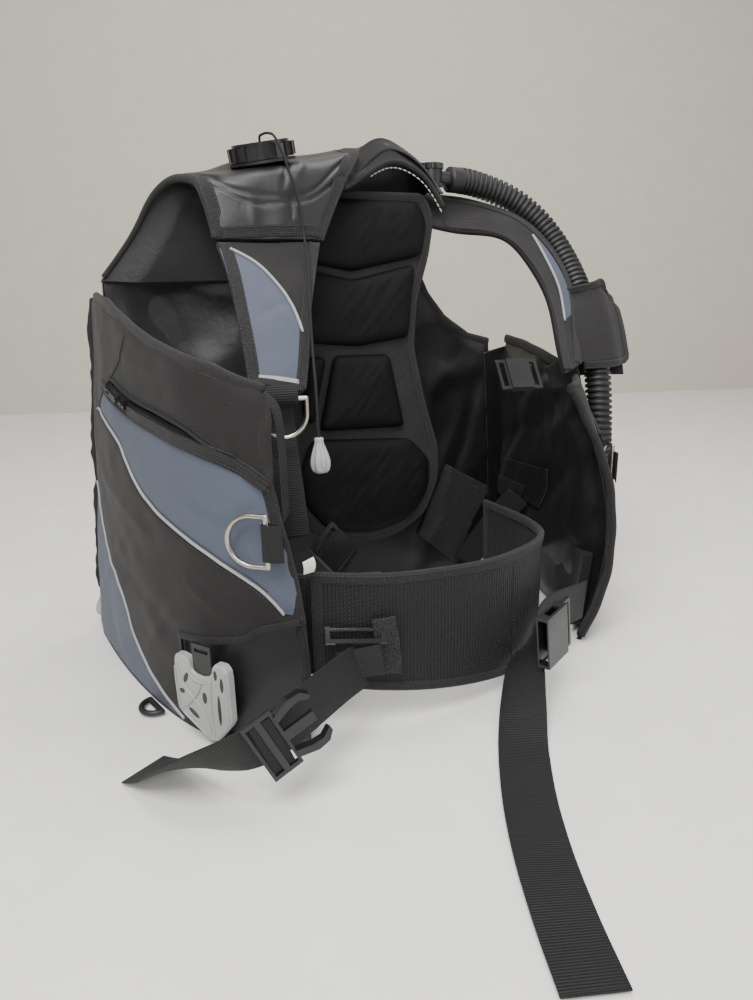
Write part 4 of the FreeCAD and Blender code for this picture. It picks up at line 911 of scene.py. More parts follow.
def make_left_wing():
    u, v = shares(130, 130)
    z = v * left_top(u)
    skin, _ = left_skin(u, z)
    inner = left_lining(u, z)
    clear_floor(skin)
    clear_floor(inner)
    um, zm = between(u), between(z)
    kinds = np.full(um.shape, BALLISTIC)
    low, high = bent(PIPE_ONE, um) + LEFT_DROP, bent(ZIP_LOW, um) + LEFT_DROP
    kinds[(zm < high) & (zm > low) & (um > 0.1)] = GREY
    kinds[(zm < bent(PIPE_TWO, um)) & (um < LOWER_PIPE_END) & (zm > 5)] = GREY
    shell("left_wing_cloth", skin, inner, [M["ballistic_black"], M["panel_grey"], M["coated_black"]], kinds,
          inner_kind=2, uv=np.stack([u * LEFT_RUN, z], -1), replaces=["left_wing", "left_pocket_panel", "zip_tapes"],
          slot="coated_black", fill=0.5)
    rim = (skin + inner) / 2
    return rim[:, -1], rim[-1], rim[:, 0]


def on_left(table, lift):
    path = spline(table)(np.linspace(0, 1, 300))
    s, z = path[:, 0], path[:, 1]
    return even(left_surface(s, z) + left_outward(s, z) * (3.6 + lift), STEP)


left_rim_top, left_rim_front, left_rim_foot = make_left_wing()
path = even(left_rim_top, STEP)
binding("left_top_binding", path - UP * 5, UP, 14, 9, 0.6, 41)
path = even(left_rim_front[3:-2], STEP)
binding("left_front_binding", path, (-0.35, -0.93, 0), 16, 8, 1.6, 42)
front_out = np.array([0.93, -0.35, 0])
for k in (-1, 1):
    row = path + np.array([1.2, 3.6, 0]) + front_out * k * 4.2
    stitches("left_front_stitch_%d" % k, row, front_out * k, STITCH)
foot_binding("left_foot_binding", left_rim_foot[3:-3], 43)
wing_pipes("left", on_left, left_normals, raised(PIPE_ONE, LEFT_DROP), 0.6)
path = on_left(raised(ZIP_LOW, -16), 0.6)
flat_tape("left_zip_binding", path, left_normals(path))
make_teeth("left_zip_coil", on_left(raised(ZIP_LOW, -3), 0.3))


# ---------------------------------------------------------------- back panel
BACK_FLOOR = [(-298, 150), (-200, 138), (-100, 112), (0, 104), (100, 112), (200, 138), (298, 150)]
BACK_HIGH = [(-292, 142), (-180, 130), (-95, 110), (0, 104), (95, 110), (180, 130), (262, 140)]
BACK_TOP = 458.0
BACK_CEILING = [(-400, 466), (120, 466), (134, 458), (146, 436), (178, 402), (225, 372), (330, 345)]
back_surface = upright(BACK_FLOOR, BACK_HIGH, BACK_TOP)
BACK_RUN = 620.0
BACK_FOLDS = [((60, 450), (150, 250), 20, -6), ((40, 330), (190, 380), 24, 6), ((30, 420), (70, 250), 14, 5),
              ((110, 180), (40, 330), 18, -5), ((430, 60), (560, 260), 20, 6), ((450, 30), (600, 160), 17, -6),
              ((440, 200), (520, 340), 18, 6), ((500, 90), (590, 300), 14, -5), ((470, 300), (600, 330), 18, 5),
              ((420, 120), (470, 260), 16, 5)]


def back_ceiling(u):
    return line_at(BACK_CEILING, back_surface(u, np.full(np.shape(u), 400.0))[..., 0])


def back_face(u, z):
    """The lining as it hangs in front of the back panel, with its folds."""
    x = u * BACK_RUN
    face = back_surface(u, z)
    relief_map = folded(lining_relief(x, z, 51) * ramp(np.abs(u - 0.5), 0.14, 0.24), x, z, BACK_FOLDS)
    edge = ramp(back_ceiling(u) - z, -2, 22) * ramp(np.minimum(u, 1 - u), -0.01, 0.03) * ramp(z, -5, 30)
    face[..., 1] -= np.clip(relief_map, -8, 8) * edge
    return face


def make_back_panel():
    u, v = np.meshgrid(np.linspace(0.004, 0.996, 230), np.linspace(0, 1, 150), indexing="ij")
    ceiling = back_ceiling(u)
    z = 1.0 + v * (ceiling - 1.0)
    face = back_face(u, z)
    rear = back_surface(u, z)
    rear[..., 1] += 7 + 8 * ramp(ceiling - z, 0, 30)
    shell("back_lining", face, rear, [M["coated_black"], M["ballistic_black"]], inner_kind=1,
          uv=np.stack([u * BACK_RUN, z], -1), replaces=["back_panel"], slot="coated_black", fill=0.4)
    rim = (face + rear)[:, -1] / 2
    binding("left_armhole_binding", even(rim[rim[:, 0] > 125], STEP), (0.45, 0, 0.9), 13, 10, 0.8, 52)


make_back_panel()


# ---------------------------------------------------------------- shoulders
def strap_surface(stations, crowns):
    """Smooth surface through pairs of edge points; across runs 0..1, along runs 0..1."""
    a, b = np.array(stations, float).swapaxes(0, 1)
    centre = (a + b) / 2
    ahead = np.array([centre[min(i + 1, len(a) - 1)] - centre[max(i - 1, 0)] for i in range(len(a))])
    out = unit(np.cross(ahead, b - a))
    crown = centre + out * np.array(crowns, float)[:, None]
    line = spline(np.concatenate([a, crown, b], axis=1))

    def at(across, along):
        p = line(along)
        p0, p1, p2 = p[..., 0:3], p[..., 3:6], p[..., 6:9]
        t = np.asarray(across, float)[..., None]
        return p0 * (1 - t) * (1 - 2 * t) + p1 * 4 * t * (1 - t) + p2 * t * (2 * t - 1)
    return at


def surface_normals(points):
    du = np.gradient(points, axis=0)
    dv = np.gradient(points, axis=1)
    return unit(np.cross(dv, du))


def make_strap(name, stations, crowns, counts, materials, relief_of, thick_of, kinds_of=None, **more):
    """A padded strap on its surface; returns what finds paths on its finished cloth."""
    at = strap_surface(stations, crowns)
    u, v = shares(*counts)
    base = at(u, v)
    out = surface_normals(base)
    width = np.linalg.norm(np.diff(base, axis=0), axis=2).sum(0).mean()
    run = np.linalg.norm(np.diff(base, axis=1), axis=2).sum(1).mean()
    skin = base + out * relief_of(u * width, v * run, u, width, run)[..., None]
    inside = base - out * thick_of(u)[..., None]
    kinds = None if kinds_of is None else kinds_of(between(u), between(v))
    shell(name, skin, inside, materials, kinds, uv=np.stack([v * run, u * width], -1), **more)

    def on(points, lift=0.0, step=3.0):
        """Path on the finished cloth through (across, along) shares."""
        shares = spline([(p[0], p[1]) for p in points])(np.linspace(0, 1, 200)) if len(points) > 2 else \
            np.linspace(points[0], points[1], 200)
        i = np.clip(shares[:, 0], 0, 1) * (counts[0] - 1)
        j = np.clip(shares[:, 1], 0, 1) * (counts[1] - 1)
        i0, j0 = np.minimum(i.astype(int), counts[0] - 2), np.minimum(j.astype(int), counts[1] - 2)
        fi, fj = (i - i0)[:, None], (j - j0)[:, None]

        def blend_of(grid):
            return ((grid[i0, j0] * (1 - fi) + grid[i0 + 1, j0] * fi) * (1 - fj)
                    + (grid[i0, j0 + 1] * (1 - fi) + grid[i0 + 1, j0 + 1] * fi) * fj)
        both = np.concatenate([blend_of(skin + out * lift), blend_of(out)], axis=1)
        run_here = lengths(both[:, :3])
        places = np.linspace(0, run_here[-1], max(int(run_here[-1] / step), 2) + 1)
        both = np.stack([np.interp(places, run_here, both[:, k]) for k in range(6)], -1)
        return both[:, :3], unit(both[:, 3:])
    return on


def down(across, first, last):
    """A line along a strap at one share across it."""
    return [(across, first), (across, 0.5), (across, last)]


def seam_tape(name, on, points, width, lift, material="binding_black", thick=1.2, rows=()):
    """Flat tape on a strap, with rows of stitches."""
    path, out = on(points, lift)
    along = unit(np.gradient(path, axis=0))
    side = np.cross(out, along)
    strip(name, path, side, flat_section(width, thick), material)
    for k, row in enumerate(rows):
        stitches(name + "_stitch_%d" % k, path + side * row + out * (thick / 2), out, STITCH, 4.0)


RIGHT_SHOULDER = [
    ((-292, 142, 462), (6, 118, 462)), ((-246, 122, 524), (6, 116, 540)), ((-226, 100, 560), (6, 106, 592)),
    ((-214, 84, 571), (7, 92, 611)), ((-206, 60, 572), (6, 66, 610)), ((-196, 34, 566), (2, 40, 602)),
    ((-193, 22, 555), (-12, 27, 584)), ((-190, 14, 540), (-30, 18, 560)), ((-185, 2, 503), (-64, 2, 503)),
]
SHOULDER_CROWN = [0, 2, 7, 2, -6, 0, 13, 11, 0]
WELDS = [[(0.075, 0.608), (0.15, 0.765), (0.3, 0.813), (0.6, 0.843), (0.775, 0.824), (0.9, 0.733), (0.99, 0.645)],
         [(0.06, 0.744), (0.275, 0.842), (0.6, 0.861), (0.8, 0.850), (0.96, 0.777)]]
WELD_DEPTH, WELD_WIDTH, SEAT_HEIGHT, SEAT_WIDTH = 2.8, 3.4, 5.0, 44.0
SHOULDER_FOLDS = [((0.55, 0.60), (0.53, 0.80), 5, -2.6), ((0.64, 0.66), (0.62, 0.80), 7, 1.6),
                  ((0.60, 0.865), (0.66, 0.93), 6, -1.8), ((0.3, 0.83), (0.35, 0.95), 8, 1.4)]


def scaled_folds(folds, width, run):
    """Folds given by shares of the strap's width and run, in millimetres."""
    return [((a[0] * width, a[1] * run), (b[0] * width, b[1] * run), wide, high) for a, b, wide, high in folds]


def shoulder_relief(x, y, u, width, run):
    total = waves(x, y, 61, 110, 1.0) + waves(x, y, 62, 38, 0.25)
    for weld in WELDS:
        path = spline([(a * width, b * run) for a, b in weld])(np.linspace(0, 1, 120))
        gap = np.full(x.shape, FAR)
        for px, py in path:
            gap = np.minimum(gap, (x - px) ** 2 + (y - py) ** 2)
        total = total - WELD_DEPTH * np.exp(-gap / WELD_WIDTH ** 2)
    seat = (0.445 * width, 0.465 * run)
    total = total + SEAT_HEIGHT * np.exp(-((x - seat[0]) ** 2 + (y - seat[1]) ** 2) / SEAT_WIDTH ** 2)
    total = folded(total, x, y, scaled_folds(SHOULDER_FOLDS, width, run))
    ease = ramp(np.minimum(u, 1 - u), 0.0, 0.08)
    return total * ease + 1.5 * ease


def shoulder_thick(u):
    return 5 + 13 * ramp(np.minimum(u, 1 - u), 0.0, 0.16)


on_shoulder = make_strap("right_shoulder_cloth", RIGHT_SHOULDER, SHOULDER_CROWN, (110, 150),
                         [M["coated_black"]], shoulder_relief, shoulder_thick, replaces=["right_shoulder"],
                         slot="coated_black", fill=0.5)
seam_tape("shoulder_outer_binding", on_shoulder, down(0.035, 0.02, 0.995), 15, 0.2, rows=(-5.5, 5.5))
seam_tape("shoulder_inner_binding", on_shoulder, down(0.962, 0.02, 0.995), 16, 0.2, rows=(-6, 6))
for side_u in (0.0, 1.0):
    edge_path, edge_out = on_shoulder(down(side_u, 0.02, 0.995), -2.4)
    strip("shoulder_rim_%d" % side_u, edge_path, np.cross(edge_out, np.gradient(edge_path, axis=0)),
          flat_section(7, 8.5, ROUND_EDGE), "binding_black")
seam_tape("shoulder_seam_tape", on_shoulder, [(0.06, 0.972), (0.5, 0.966), (0.95, 0.972)], 13, 0.4,
          rows=(-4.6, -2.6, 4.8))

RIGHT_STRAP = [
    ((-185, 0, 500), (-65, 0, 500)), ((-183, -25, 470), (-84, -27, 464)), ((-184, -55, 427), (-103, -55, 424)),
    ((-186, -85, 380), (-120, -85, 376)), ((-188, -98, 362), (-131, -102, 348)),
]
STRAP_FOLDS = [((0.2, 0.35), (0.8, 0.62), 7, 1.6), ((0.25, 0.55), (0.7, 0.45), 6, -1.4)]
INSET_PIPE = [(0.10, 0.06), (0.30, 0.16), (0.55, 0.33), (0.76, 0.50), (0.90, 0.66)]


def strap_relief(x, y, u, width, run):
    total = folded(waves(x, y, 71, 70, 0.8), x, y, scaled_folds(STRAP_FOLDS, width, run))
    return total * ramp(np.minimum(u, 1 - u), 0.0, 0.12)


def strap_kinds(u, v):
    return ((v > line_at(INSET_PIPE, u)) & (v < 0.955)).astype(int)


on_strap = make_strap("right_strap_cloth", RIGHT_STRAP, [0, 2, 3, 2, 0], (60, 90),
                      [M["ballistic_black"], M["panel_grey"]], strap_relief,
                      lambda u: 6.0 + 0 * u, strap_kinds, replaces=["right_shoulder_strap"], slot="panel_grey",
                      fill=0.3)
seam_tape("strap_outer_binding", on_strap, [(0.07, 0.01), (0.07, 0.5), (0.08, 0.99)], 13, 0.5, rows=(-5, 5))
seam_tape("strap_inner_binding", on_strap, [(0.94, 0.01), (0.94, 0.5), (0.93, 0.99)], 12, 0.5, rows=(-4.5, 4.5))
pipe_path, pipe_out = on_strap(INSET_PIPE, 0.9)
pipe("strap_piping", pipe_path, pipe_out)
seam_tape("strap_foot_trim", on_strap, [(0.16, 0.957), (0.5, 0.957), (0.88, 0.957)], 5, 0.7, "piping_silver", 1.4)
seam_tape("strap_foot_band", on_strap, [(0.02, 0.985), (0.5, 0.985), (0.98, 0.985)], 8, 0.5, "webbing_black", 2.0)

LEFT_SHOULDER = [
    ((116, 68, 528), (116, 114, 570)), ((163, 54, 518), (176, 108, 566)), ((201, 24, 511), (226, 74, 552)),
    ((221, -14, 476), (268, 22, 512)), ((228, -50, 429), (284, -20, 452)), ((221, -84, 370), (264, -64, 384)),
    ((221, -98, 341), (248, -90, 349)),
]
LEFT_INSET_RUN = (0.46, 0.60, 0.80)
LEFT_INSET_EDGE = (0.72, 0.48, 0.42)


def left_strap_kinds(u, v):
    edge = np.interp(v, LEFT_INSET_RUN, LEFT_INSET_EDGE)
    return ((u > edge) & (u < 0.80) & (v > 0.46) & (v < 0.80)).astype(int)


on_left_strap = make_strap("left_shoulder_cloth", LEFT_SHOULDER, [0, 1, 1, 1, 1, 0, 0], (50, 150),
                           [M["ballistic_black"], M["panel_grey"]],
                           lambda x, y, u, w, r: waves(x, y, 81, 60, 0.7) * ramp(np.minimum(u, 1 - u), 0, 0.15),
                           lambda u: 6.5 + 0 * u, left_strap_kinds, replaces=["left_shoulder"],
                           slot="binding_black", fill=0.3)
seam_tape("left_strap_inner_binding", on_left_strap, [(0.14, 0.08), (0.16, 0.5), (0.17, 0.99)], 17, 0.5, rows=(-6, 6))
seam_tape("left_strap_outer_binding", on_left_strap, down(0.90, 0.08, 0.99), 12, 0.5, rows=(-4.5, 4.5))
pipe_path, pipe_out = on_left_strap(list(zip(LEFT_INSET_EDGE, LEFT_INSET_RUN)), 0.9)
pipe("left_strap_piping", pipe_path, pipe_out, 1.6)


# ---------------------------------------------------------------- rear air lobes
LOBE_VOXEL, LOBE_LUMPS, LOBE_LUMP_SIZE, LOBE_SEED = 5.0, 2.0, 70.0, 91


def make_lobes():
    """The rear lobes: a remeshed and smoothed copy of their solid, with soft lumps."""
    obj = bpy.data.objects.new("air_lobes_soft", nodes["rear_air_lobes"].data.copy())
    bpy.context.scene.collection.objects.link(obj)
    obj.data.materials.clear()
    obj.data.materials.append(LOOSE["ballistic_black"])
    remesh = obj.modifiers.new("remesh", "REMESH")
    remesh.mode = "VOXEL"
    remesh.voxel_size = LOBE_VOXEL * MM
    smooth = obj.modifiers.new("smooth", "SMOOTH")
    smooth.factor = 0.6
    smooth.iterations = 14
    done = obj.evaluated_get(bpy.context.evaluated_depsgraph_get())
    data = bpy.data.meshes.new_from_object(done)
    obj.modifiers.clear()
    obj.data = data
    co, no = np.zeros(len(data.vertices) * 3), np.zeros(len(data.vertices) * 3)
    data.vertices.foreach_get("co", co)
    data.vertices.foreach_get("normal", no)
    co, no = co.reshape(-1, 3) / MM, no.reshape(-1, 3)
    x, y, z = co.T
    lift = (waves(x + y, z, LOBE_SEED, LOBE_LUMP_SIZE, LOBE_LUMPS)
            + waves(x - y, z, LOBE_SEED + 1, LOBE_LUMP_SIZE * 0.35, LOBE_LUMPS * 0.35))
    co = co + no * (lift - LOBE_LUMPS * 0.3)[:, None]
    clear_floor(co)
    data.vertices.foreach_set("co", (co * MM).ravel())
    data.polygons.foreach_set("use_smooth", [True] * len(data.polygons))
    data.update()
    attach(obj, BODY)
    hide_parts("rear_air_lobes")


make_lobes()


# ---------------------------------------------------------------- collar
# each station: rear foot, rear shoulder, ridge and front lip
COLLAR_STATIONS = [
    [(5, 118, 500), (5, 108, 585), (5, 92, 611), (3, 64, 610), (-22, 22, 562)],
    [(18, 122, 470), (16, 112, 590), (14, 94, 614), (13, 74, 612), (3, 42, 573)],
    [(45, 122, 464), (45, 114, 594), (45, 96, 619), (45, 82, 624), (43, 58, 594)],
    [(84, 122, 464), (84, 114, 588), (84, 95, 611), (84, 84, 616), (82, 64, 598)],
    [(112, 124, 464), (111, 116, 578), (111, 96, 594), (112, 82, 598), (110, 58, 580)],
    [(132, 126, 464), (131, 118, 560), (131, 92, 570), (132, 76, 572), (129, 48, 547)],
]
COLLAR_FOLDS = [((20, 150), (80, 100), 7, 1.8), ((75, 165), (120, 120), 6, -1.6)]
COLLAR_DEPTH = 9.0
COLLAR_GRID = (90, 60)
TAPE_ROW, LIP_ROW = 53, 59


def make_collar():
    table = np.array(COLLAR_STATIONS, float)
    u, v = shares(*COLLAR_GRID)
    rows = np.stack([spline(station)(v[0]) for station in table], 0)
    grid = spline(rows.reshape(len(table), -1))(u[:, 0]).reshape(*COLLAR_GRID, 3)
    out = surface_normals(grid)
    if out[45, 40, 2] < 0:
        out = -out
    x, y = u * 150, v * 190
    puff = folded(waves(x, y, 93, 60, 0.8), x, y, COLLAR_FOLDS)
    skin = grid + out * (puff * ramp(1 - v, 0, 0.08))[..., None]
    inside = grid - out * (3.0 + COLLAR_DEPTH * ramp(1 - v, 0, 0.2) * ramp(u, -0.05, 0.2))[..., None]
    shell("collar_cloth", skin, inside, [M["coated_black"]], uv=np.stack([x, y], -1), replaces=["collar"],
          slot="coated_black", fill=0.5)
    path = even(grid[:, TAPE_ROW] + out[:, TAPE_ROW] * 0.8, 3.0)
    away = out[np.linspace(0, len(grid) - 1, len(path)).astype(int), TAPE_ROW]
    side = np.cross(away, unit(np.gradient(path, axis=0)))
    strip("collar_tape", path, side, flat_section(20, 1.5), "binding_black")
    for k, row in enumerate((-7.5, 7.5)):
        stitches("collar_tape_stitch_%d" % k, path + side * row + away * 0.9, away, STITCH)
    lip = even(grid[:, LIP_ROW] - out[:, LIP_ROW] * 1.5, 3.0)
    strip("collar_lip_roll", lip, (0, -0.35, 0.9), flat_section(6, 5.0, ROUND_EDGE), "binding_black")
    return lip


lip_path = make_collar()
low_lip = lip_path[22:] + np.array([0, 3.0, -6.5])
stitches("collar_white_stitch", low_lip, np.array([0, -1, -0.3]), WHITE_STITCH, 7.0, 0.8)


# ---------------------------------------------------------------- back pad
PAD_FOOT, PAD_FOOT_Z, PAD_LEAN = 4.0, 130.0, 0.124
PAD_OUTLINE = [(0, 124), (44, 129), (84, 150), (106, 190), (110, 236), (94, 300), (82, 372), (90, 430),
               (113, 490), (124, 536), (112, 565)]
PAD_CELLS = [
    [(-100, 556), (100, 556), (112, 528), (100, 488), (0, 470), (-100, 488), (-112, 528)],
    [(-90, 478), (0, 460), (90, 478), (74, 386), (0, 378), (-74, 386)],
    [(-34, 368), (44, 366), (60, 270), (-62, 276)],
    [(-74, 368), (-44, 368), (-70, 282), (-84, 300)],
    [(-74, 266), (66, 254), (94, 224), (90, 184), (62, 148), (0, 137), (-62, 148), (-90, 184), (-94, 226)],
]


def smooth_outline(corners, spacing=18.0, rounds=3):
    points = np.array(corners, float)
    dense = []
    for a, b in zip(points, np.roll(points, -1, axis=0)):
        parts = max(int(np.linalg.norm(b - a) / spacing), 1)
        dense += [a + (b - a) * k / parts for k in range(parts)]
    points = np.array(dense)
    for _ in range(rounds):
        following = np.roll(points, -1, axis=0)
        points = np.stack([points * 0.75 + following * 0.25, points * 0.25 + following * 0.75], 1).reshape(-1, 2)
    return points


def pad_point(flat, front):
    """Points of the pad's leaning plane, `front` millimetres towards the wearer."""
    x, z = flat[..., 0], flat[..., 1]
    return np.stack([x, PAD_FOOT + PAD_LEAN * (z - PAD_FOOT_Z) - front, z + PAD_LEAN * front], -1)


def puffed(name, outline, low, high, margin, crown, seed, material, replaces=()):
    """A padded cell: flat back, rounded shoulders and a slightly domed face."""
    ring = smooth_outline(outline)
    middle = ring.mean(0)
    levels = 1 - np.linspace(0, 1, 34)[:-1] ** 1.25
    flat = middle + (ring[None] - middle) * levels[:, None, None]
    a, b = ring, np.roll(ring, -1, axis=0)
    reach = np.full(flat.shape[:2], FAR)
    for p, q in zip(a, b):
        d = q - p
        t = np.clip(((flat - p) @ d) / max(d @ d, 1e-9), 0, 1)
        reach = np.minimum(reach, np.linalg.norm(flat - p - t[..., None] * d, axis=-1))
    share = np.clip(reach / margin, 0, 1)
    dome = np.sqrt(np.clip(1 - (1 - share) ** 2.2, 0, 1))
    x, z = flat[..., 0], flat[..., 1]
    puff = low + (high - low) * dome + crown * ramp(reach, 0, 45) + waves(x, z, seed, 60, 0.5) * share
    puff = puff + 0.35 * np.tanh(waves(x + z, z - x, seed + 3, 16, 1.0, 4.0)) * share
    front = pad_point(flat, puff)
    back = pad_point(ring, np.full(len(ring), low - 0.2))
    n = len(ring)
    centre_front = pad_point(middle, np.array(puff[-1].mean()))
    centre_back = pad_point(middle, np.array(low - 0.2))
    verts = np.concatenate([front.reshape(-1, 3), back, centre_front[None], centre_back[None]])
    uv = np.concatenate([flat.reshape(-1, 2), ring, middle[None], middle[None]])
    faces = []
    rows = len(levels)
    for i in range(rows - 1):
        for j in range(n):
            k = (j + 1) % n
            faces.append([i * n + j, i * n + k, (i + 1) * n + k, (i + 1) * n + j])
    tip, tail, base = rows * n + n, rows * n + n + 1, rows * n
    for j in range(n):
        k = (j + 1) % n
        faces.append([(rows - 1) * n + j, (rows - 1) * n + k, tip])
        faces.append([base + j, j, k, base + k][::-1])
        faces.append([base + k, base + j, tail])
    mesh(name, verts, faces, uv, [M[material]], replaces=replaces, slot=material, fill=0.8)
    return ring


for number, cell in enumerate(PAD_CELLS):
    puffed("pad_cell_%d" % number, cell, -12.6, -1.5, 17.0, 3.0, 100 + number, "pad_black",
           ["back_pad_cells"] if number == 0 else ())
pad_outline = PAD_OUTLINE + [(-x, z) for x, z in PAD_OUTLINE[:0:-1]]
pad_ring = puffed("pad_base_soft", pad_outline, -21.8, -13.4, 6.0, 0.0, 120, "binding_black", ["back_pad_base"])


def around_pad(inset_by, front):
    closed = np.concatenate([pad_ring, pad_ring[:1]])
    ahead = unit(np.gradient(closed, axis=0))
    inward = np.stack([-ahead[:, 1], ahead[:, 0]], -1)
    return even(pad_point(closed + inward * inset_by, np.full(len(closed), front)), STEP)[:-1]


pad_normal = unit(np.array([0, -1, -PAD_LEAN]))
ring_path = around_pad(5.0, -17.5)
ahead = unit(np.gradient(ring_path, axis=0))
strip("pad_binding", ring_path, np.cross(pad_normal, ahead), flat_section(14, 10.5, 0.3), "binding_black",
      closed=True)
for row, inset_by in enumerate((2.2, 9.2)):
    stitches("pad_binding_stitch_%d" % row, around_pad(inset_by, -12.2), pad_normal, STITCH, 4.0, 0.6)


# ---------------------------------------------------------------- cummerbund
CUMMERBUND = [(-165, -186), (-100, -212), (-20, -222), (60, -209), (118, -182), (152, -148), (166, -108),
              (170, -66), (169, -36), (168, -8)]
CUMMERBUND_RIGHT = [(-176, -168), (-150, -182), (-96, -204)]


def band_foot(x):
    return np.maximum(28.0 - 0.165 * x, 1.6)


def make_band(name, plan, foot_of, head_of, thick, replaces, seed):
    """Stretched elastic band standing on its plan, bound on all four edges."""
    path = curve(plan, 3.0)
    along = unit(np.gradient(path, axis=0))
    out = np.stack([along[:, 1], -along[:, 0]], -1)
    v = np.linspace(0, 1, 46)
    foot, top = foot_of(path[:, 0]), head_of(path[:, 0])
    z = foot[:, None] + (top - foot)[:, None] * v[None]
    run = lengths(path)[:, None] + 0 * z
    bulge = waves(run, z, seed, 120, 1.3) * ramp(v, 0, 0.2)[None] + 1.2 * np.sin(v * math.pi)[None]
    face = np.concatenate([path[:, None] + out[:, None] * bulge[..., None], z[..., None]], -1)
    rear = np.concatenate([path[:, None] + out[:, None] * (bulge - thick)[..., None], z[..., None]], -1)
    obj = shell(name, face, rear, [M["mesh_black"]], uv=np.stack([run, z], -1), replaces=replaces, slot="mesh_black")
    middle = (face + rear) / 2
    normals = np.concatenate([out, np.zeros((len(out), 1))], 1)
    for label, row, shift in (("top", -1, -4.5), ("foot", 0, 4.5)):
        edge = middle[:, row] + UP * shift
        strip(name + "_" + label, edge, UP, flat_section(12, thick + 3.0, 0.4), "binding_black")
        stitches(name + "_" + label + "_stitch", edge + normals * (thick / 2 + 1.6) - UP * shift * 0.8, normals, STITCH)
    for end in (0, -1):
        shift = np.append(along[end] * (5 if end == 0 else -5), 0)
        strip(name + "_end_%d" % (end + 1), middle[end][2:-2] + shift, np.append(along[end], 0),
              flat_section(12, thick + 2.4, 0.4), "binding_black")
    return face, normals


band_face, band_out = make_band("cummerbund_band", CUMMERBUND, band_foot, lambda x: 169.0 - 0.055 * x, 4.0,
                                ["cummerbund_left"], 131)
make_band("cummerbund_short", CUMMERBUND_RIGHT, lambda x: 62 + 0 * x, lambda x: 172 + 0 * x, 4.0,
          ["cummerbund_right"], 137)
for number, share in enumerate((0.50, 0.67)):
    i = int(share * (len(band_face) - 1))
    stitches("cummerbund_seam_%d" % number, band_face[i, 5:-5] + band_out[i] * 0.5, band_out[i], STITCH, 4.0, 0.6)


# ---------------------------------------------------------------- hose keeper
FLAP_PLAN = [(-46, -6), (-30, -17), (-14, -22.5), (2, -23.5), (18, -20), (33, -11), (45, -5)]
FLAP_REAR = [(44, -1.5), (34, 4), (26, 12), (14, 20), (0, 22.8), (-14, 20)]


def hose_at(levels):
    """Where the outer, falling part of the hose is at each height."""
    falling = hose_path[np.argsort(hose_path[:, 2])]
    falling = falling[falling[:, 0] > 200]
    return np.stack([np.interp(levels, falling[:, 2], falling[:, k]) for k in range(3)], -1)


def make_keeper():
    """Sleeve round the hose, its wide front flap and the layer behind it."""
    part = hose_path[(hose_path[:, 2] > 361) & (hose_path[:, 2] < 429) & (hose_path[:, 0] > 200)]
    angles = np.radians(np.linspace(4, 356, 44))
    rim = np.stack([np.cos(angles), np.sin(angles)], -1)
    profile = np.concatenate([rim * 20.2, rim[::-1] * 18.3])
    strip("keeper_sleeve", even(part, STEP), (0.9, -0.44, 0), profile, "ballistic_black", replaces=["hose_keeper"])
    levels = np.linspace(352, 441, 36)
    share = np.linspace(0, 1, 48)
    plan = spline(FLAP_PLAN)(share)
    front = np.zeros((36, 48, 3))
    for i, (centre, level) in enumerate(zip(hose_at(levels), levels)):
        reach = 1.0 - 0.10 * ramp(level, 428, 441)
        corner = 15 * ramp(share, 0.78, 1.0) ** 2 * ramp(level, 405, 441)
        front[i, :, 0] = centre[0] + plan[:, 0] * reach
        front[i, :, 1] = centre[1] + plan[:, 1] - 1.0 + waves(share * 90, level + 0 * share, 151, 50, 0.5)
        front[i, :, 2] = level - corner + 16 * (share - 0.55) * ramp(level, 340, 400)
    shell("keeper_flap", front, front + np.array([0.0, 2.2, 0.0]), [M["ballistic_black"]], slot="ballistic_black")
    rim = even(np.concatenate([front[0, 8:], front[1:, -1], front[-1, ::-1][:-6]]), 3.0)
    rim_out = np.array([0.1, -1.0, 0.0])
    inward = unit(np.cross(np.gradient(rim, axis=0), rim_out))
    strip("keeper_flap_binding", rim + inward * 4.0 + np.array([0, 1.0, 0]), inward, flat_section(10, 4.6, 0.4),
          "binding_black")
    stitches("keeper_flap_stitch", rim + inward * 7.0 + np.array([0, -1.5, 0]), rim_out, STITCH)
    rear_plan = spline(FLAP_REAR)(np.linspace(0, 1, 30))
    levels = np.linspace(330, 425, 24)
    rear = np.zeros((24, 30, 3))
    for i, (centre, level) in enumerate(zip(hose_at(levels), levels)):
        rear[i] = np.stack([centre[0] + rear_plan[:, 0], centre[1] + rear_plan[:, 1], level + 0 * rear_plan[:, 0]], -1)
    shell("keeper_rear_layer", rear, rear + np.array([0.3, 2.0, 0.0]), [M["binding_black"]], slot="binding_black")


make_keeper()


# ---------------------------------------------------------------- chest webbing
CHEST_WEB = [(-163, -93, 352), (-161, -92, 335), (-160, -96, 300), (-160, -108, 255), (-160, -123, 196)]
CORNER_LOOP = [(-228, -158, 352), (-214, -166, 358), (-200, -174, 358), (-191, -179, 349), (-187, -181, 330),
               (-186, -182, 290), (-186, -182, 240)]


def ribbon(name, route, ways, width, thick, material, replaces=(), step=3.0):
    """Flat webbing along a smooth route, its width turning through the given directions."""
    both = np.concatenate([np.array(route, float), np.array(ways, float)], axis=1)
    dense = even(spline(both)(np.linspace(0, 1, 300)), step)
    strip(name, dense[:, :3], dense[:, 3:], flat_section(width, thick), material, replaces=replaces)


ribbon("chest_web", CHEST_WEB, [(0.95, -0.30, 0.0)] * len(CHEST_WEB), 38, 2.0, "webbing_black",
       replaces=["chest_webbing"])
ribbon("wing_corner_loop", CORNER_LOOP, [(0.50, 0.866, 0.0)] * len(CORNER_LOOP), 30, 2.0, "webbing_black")


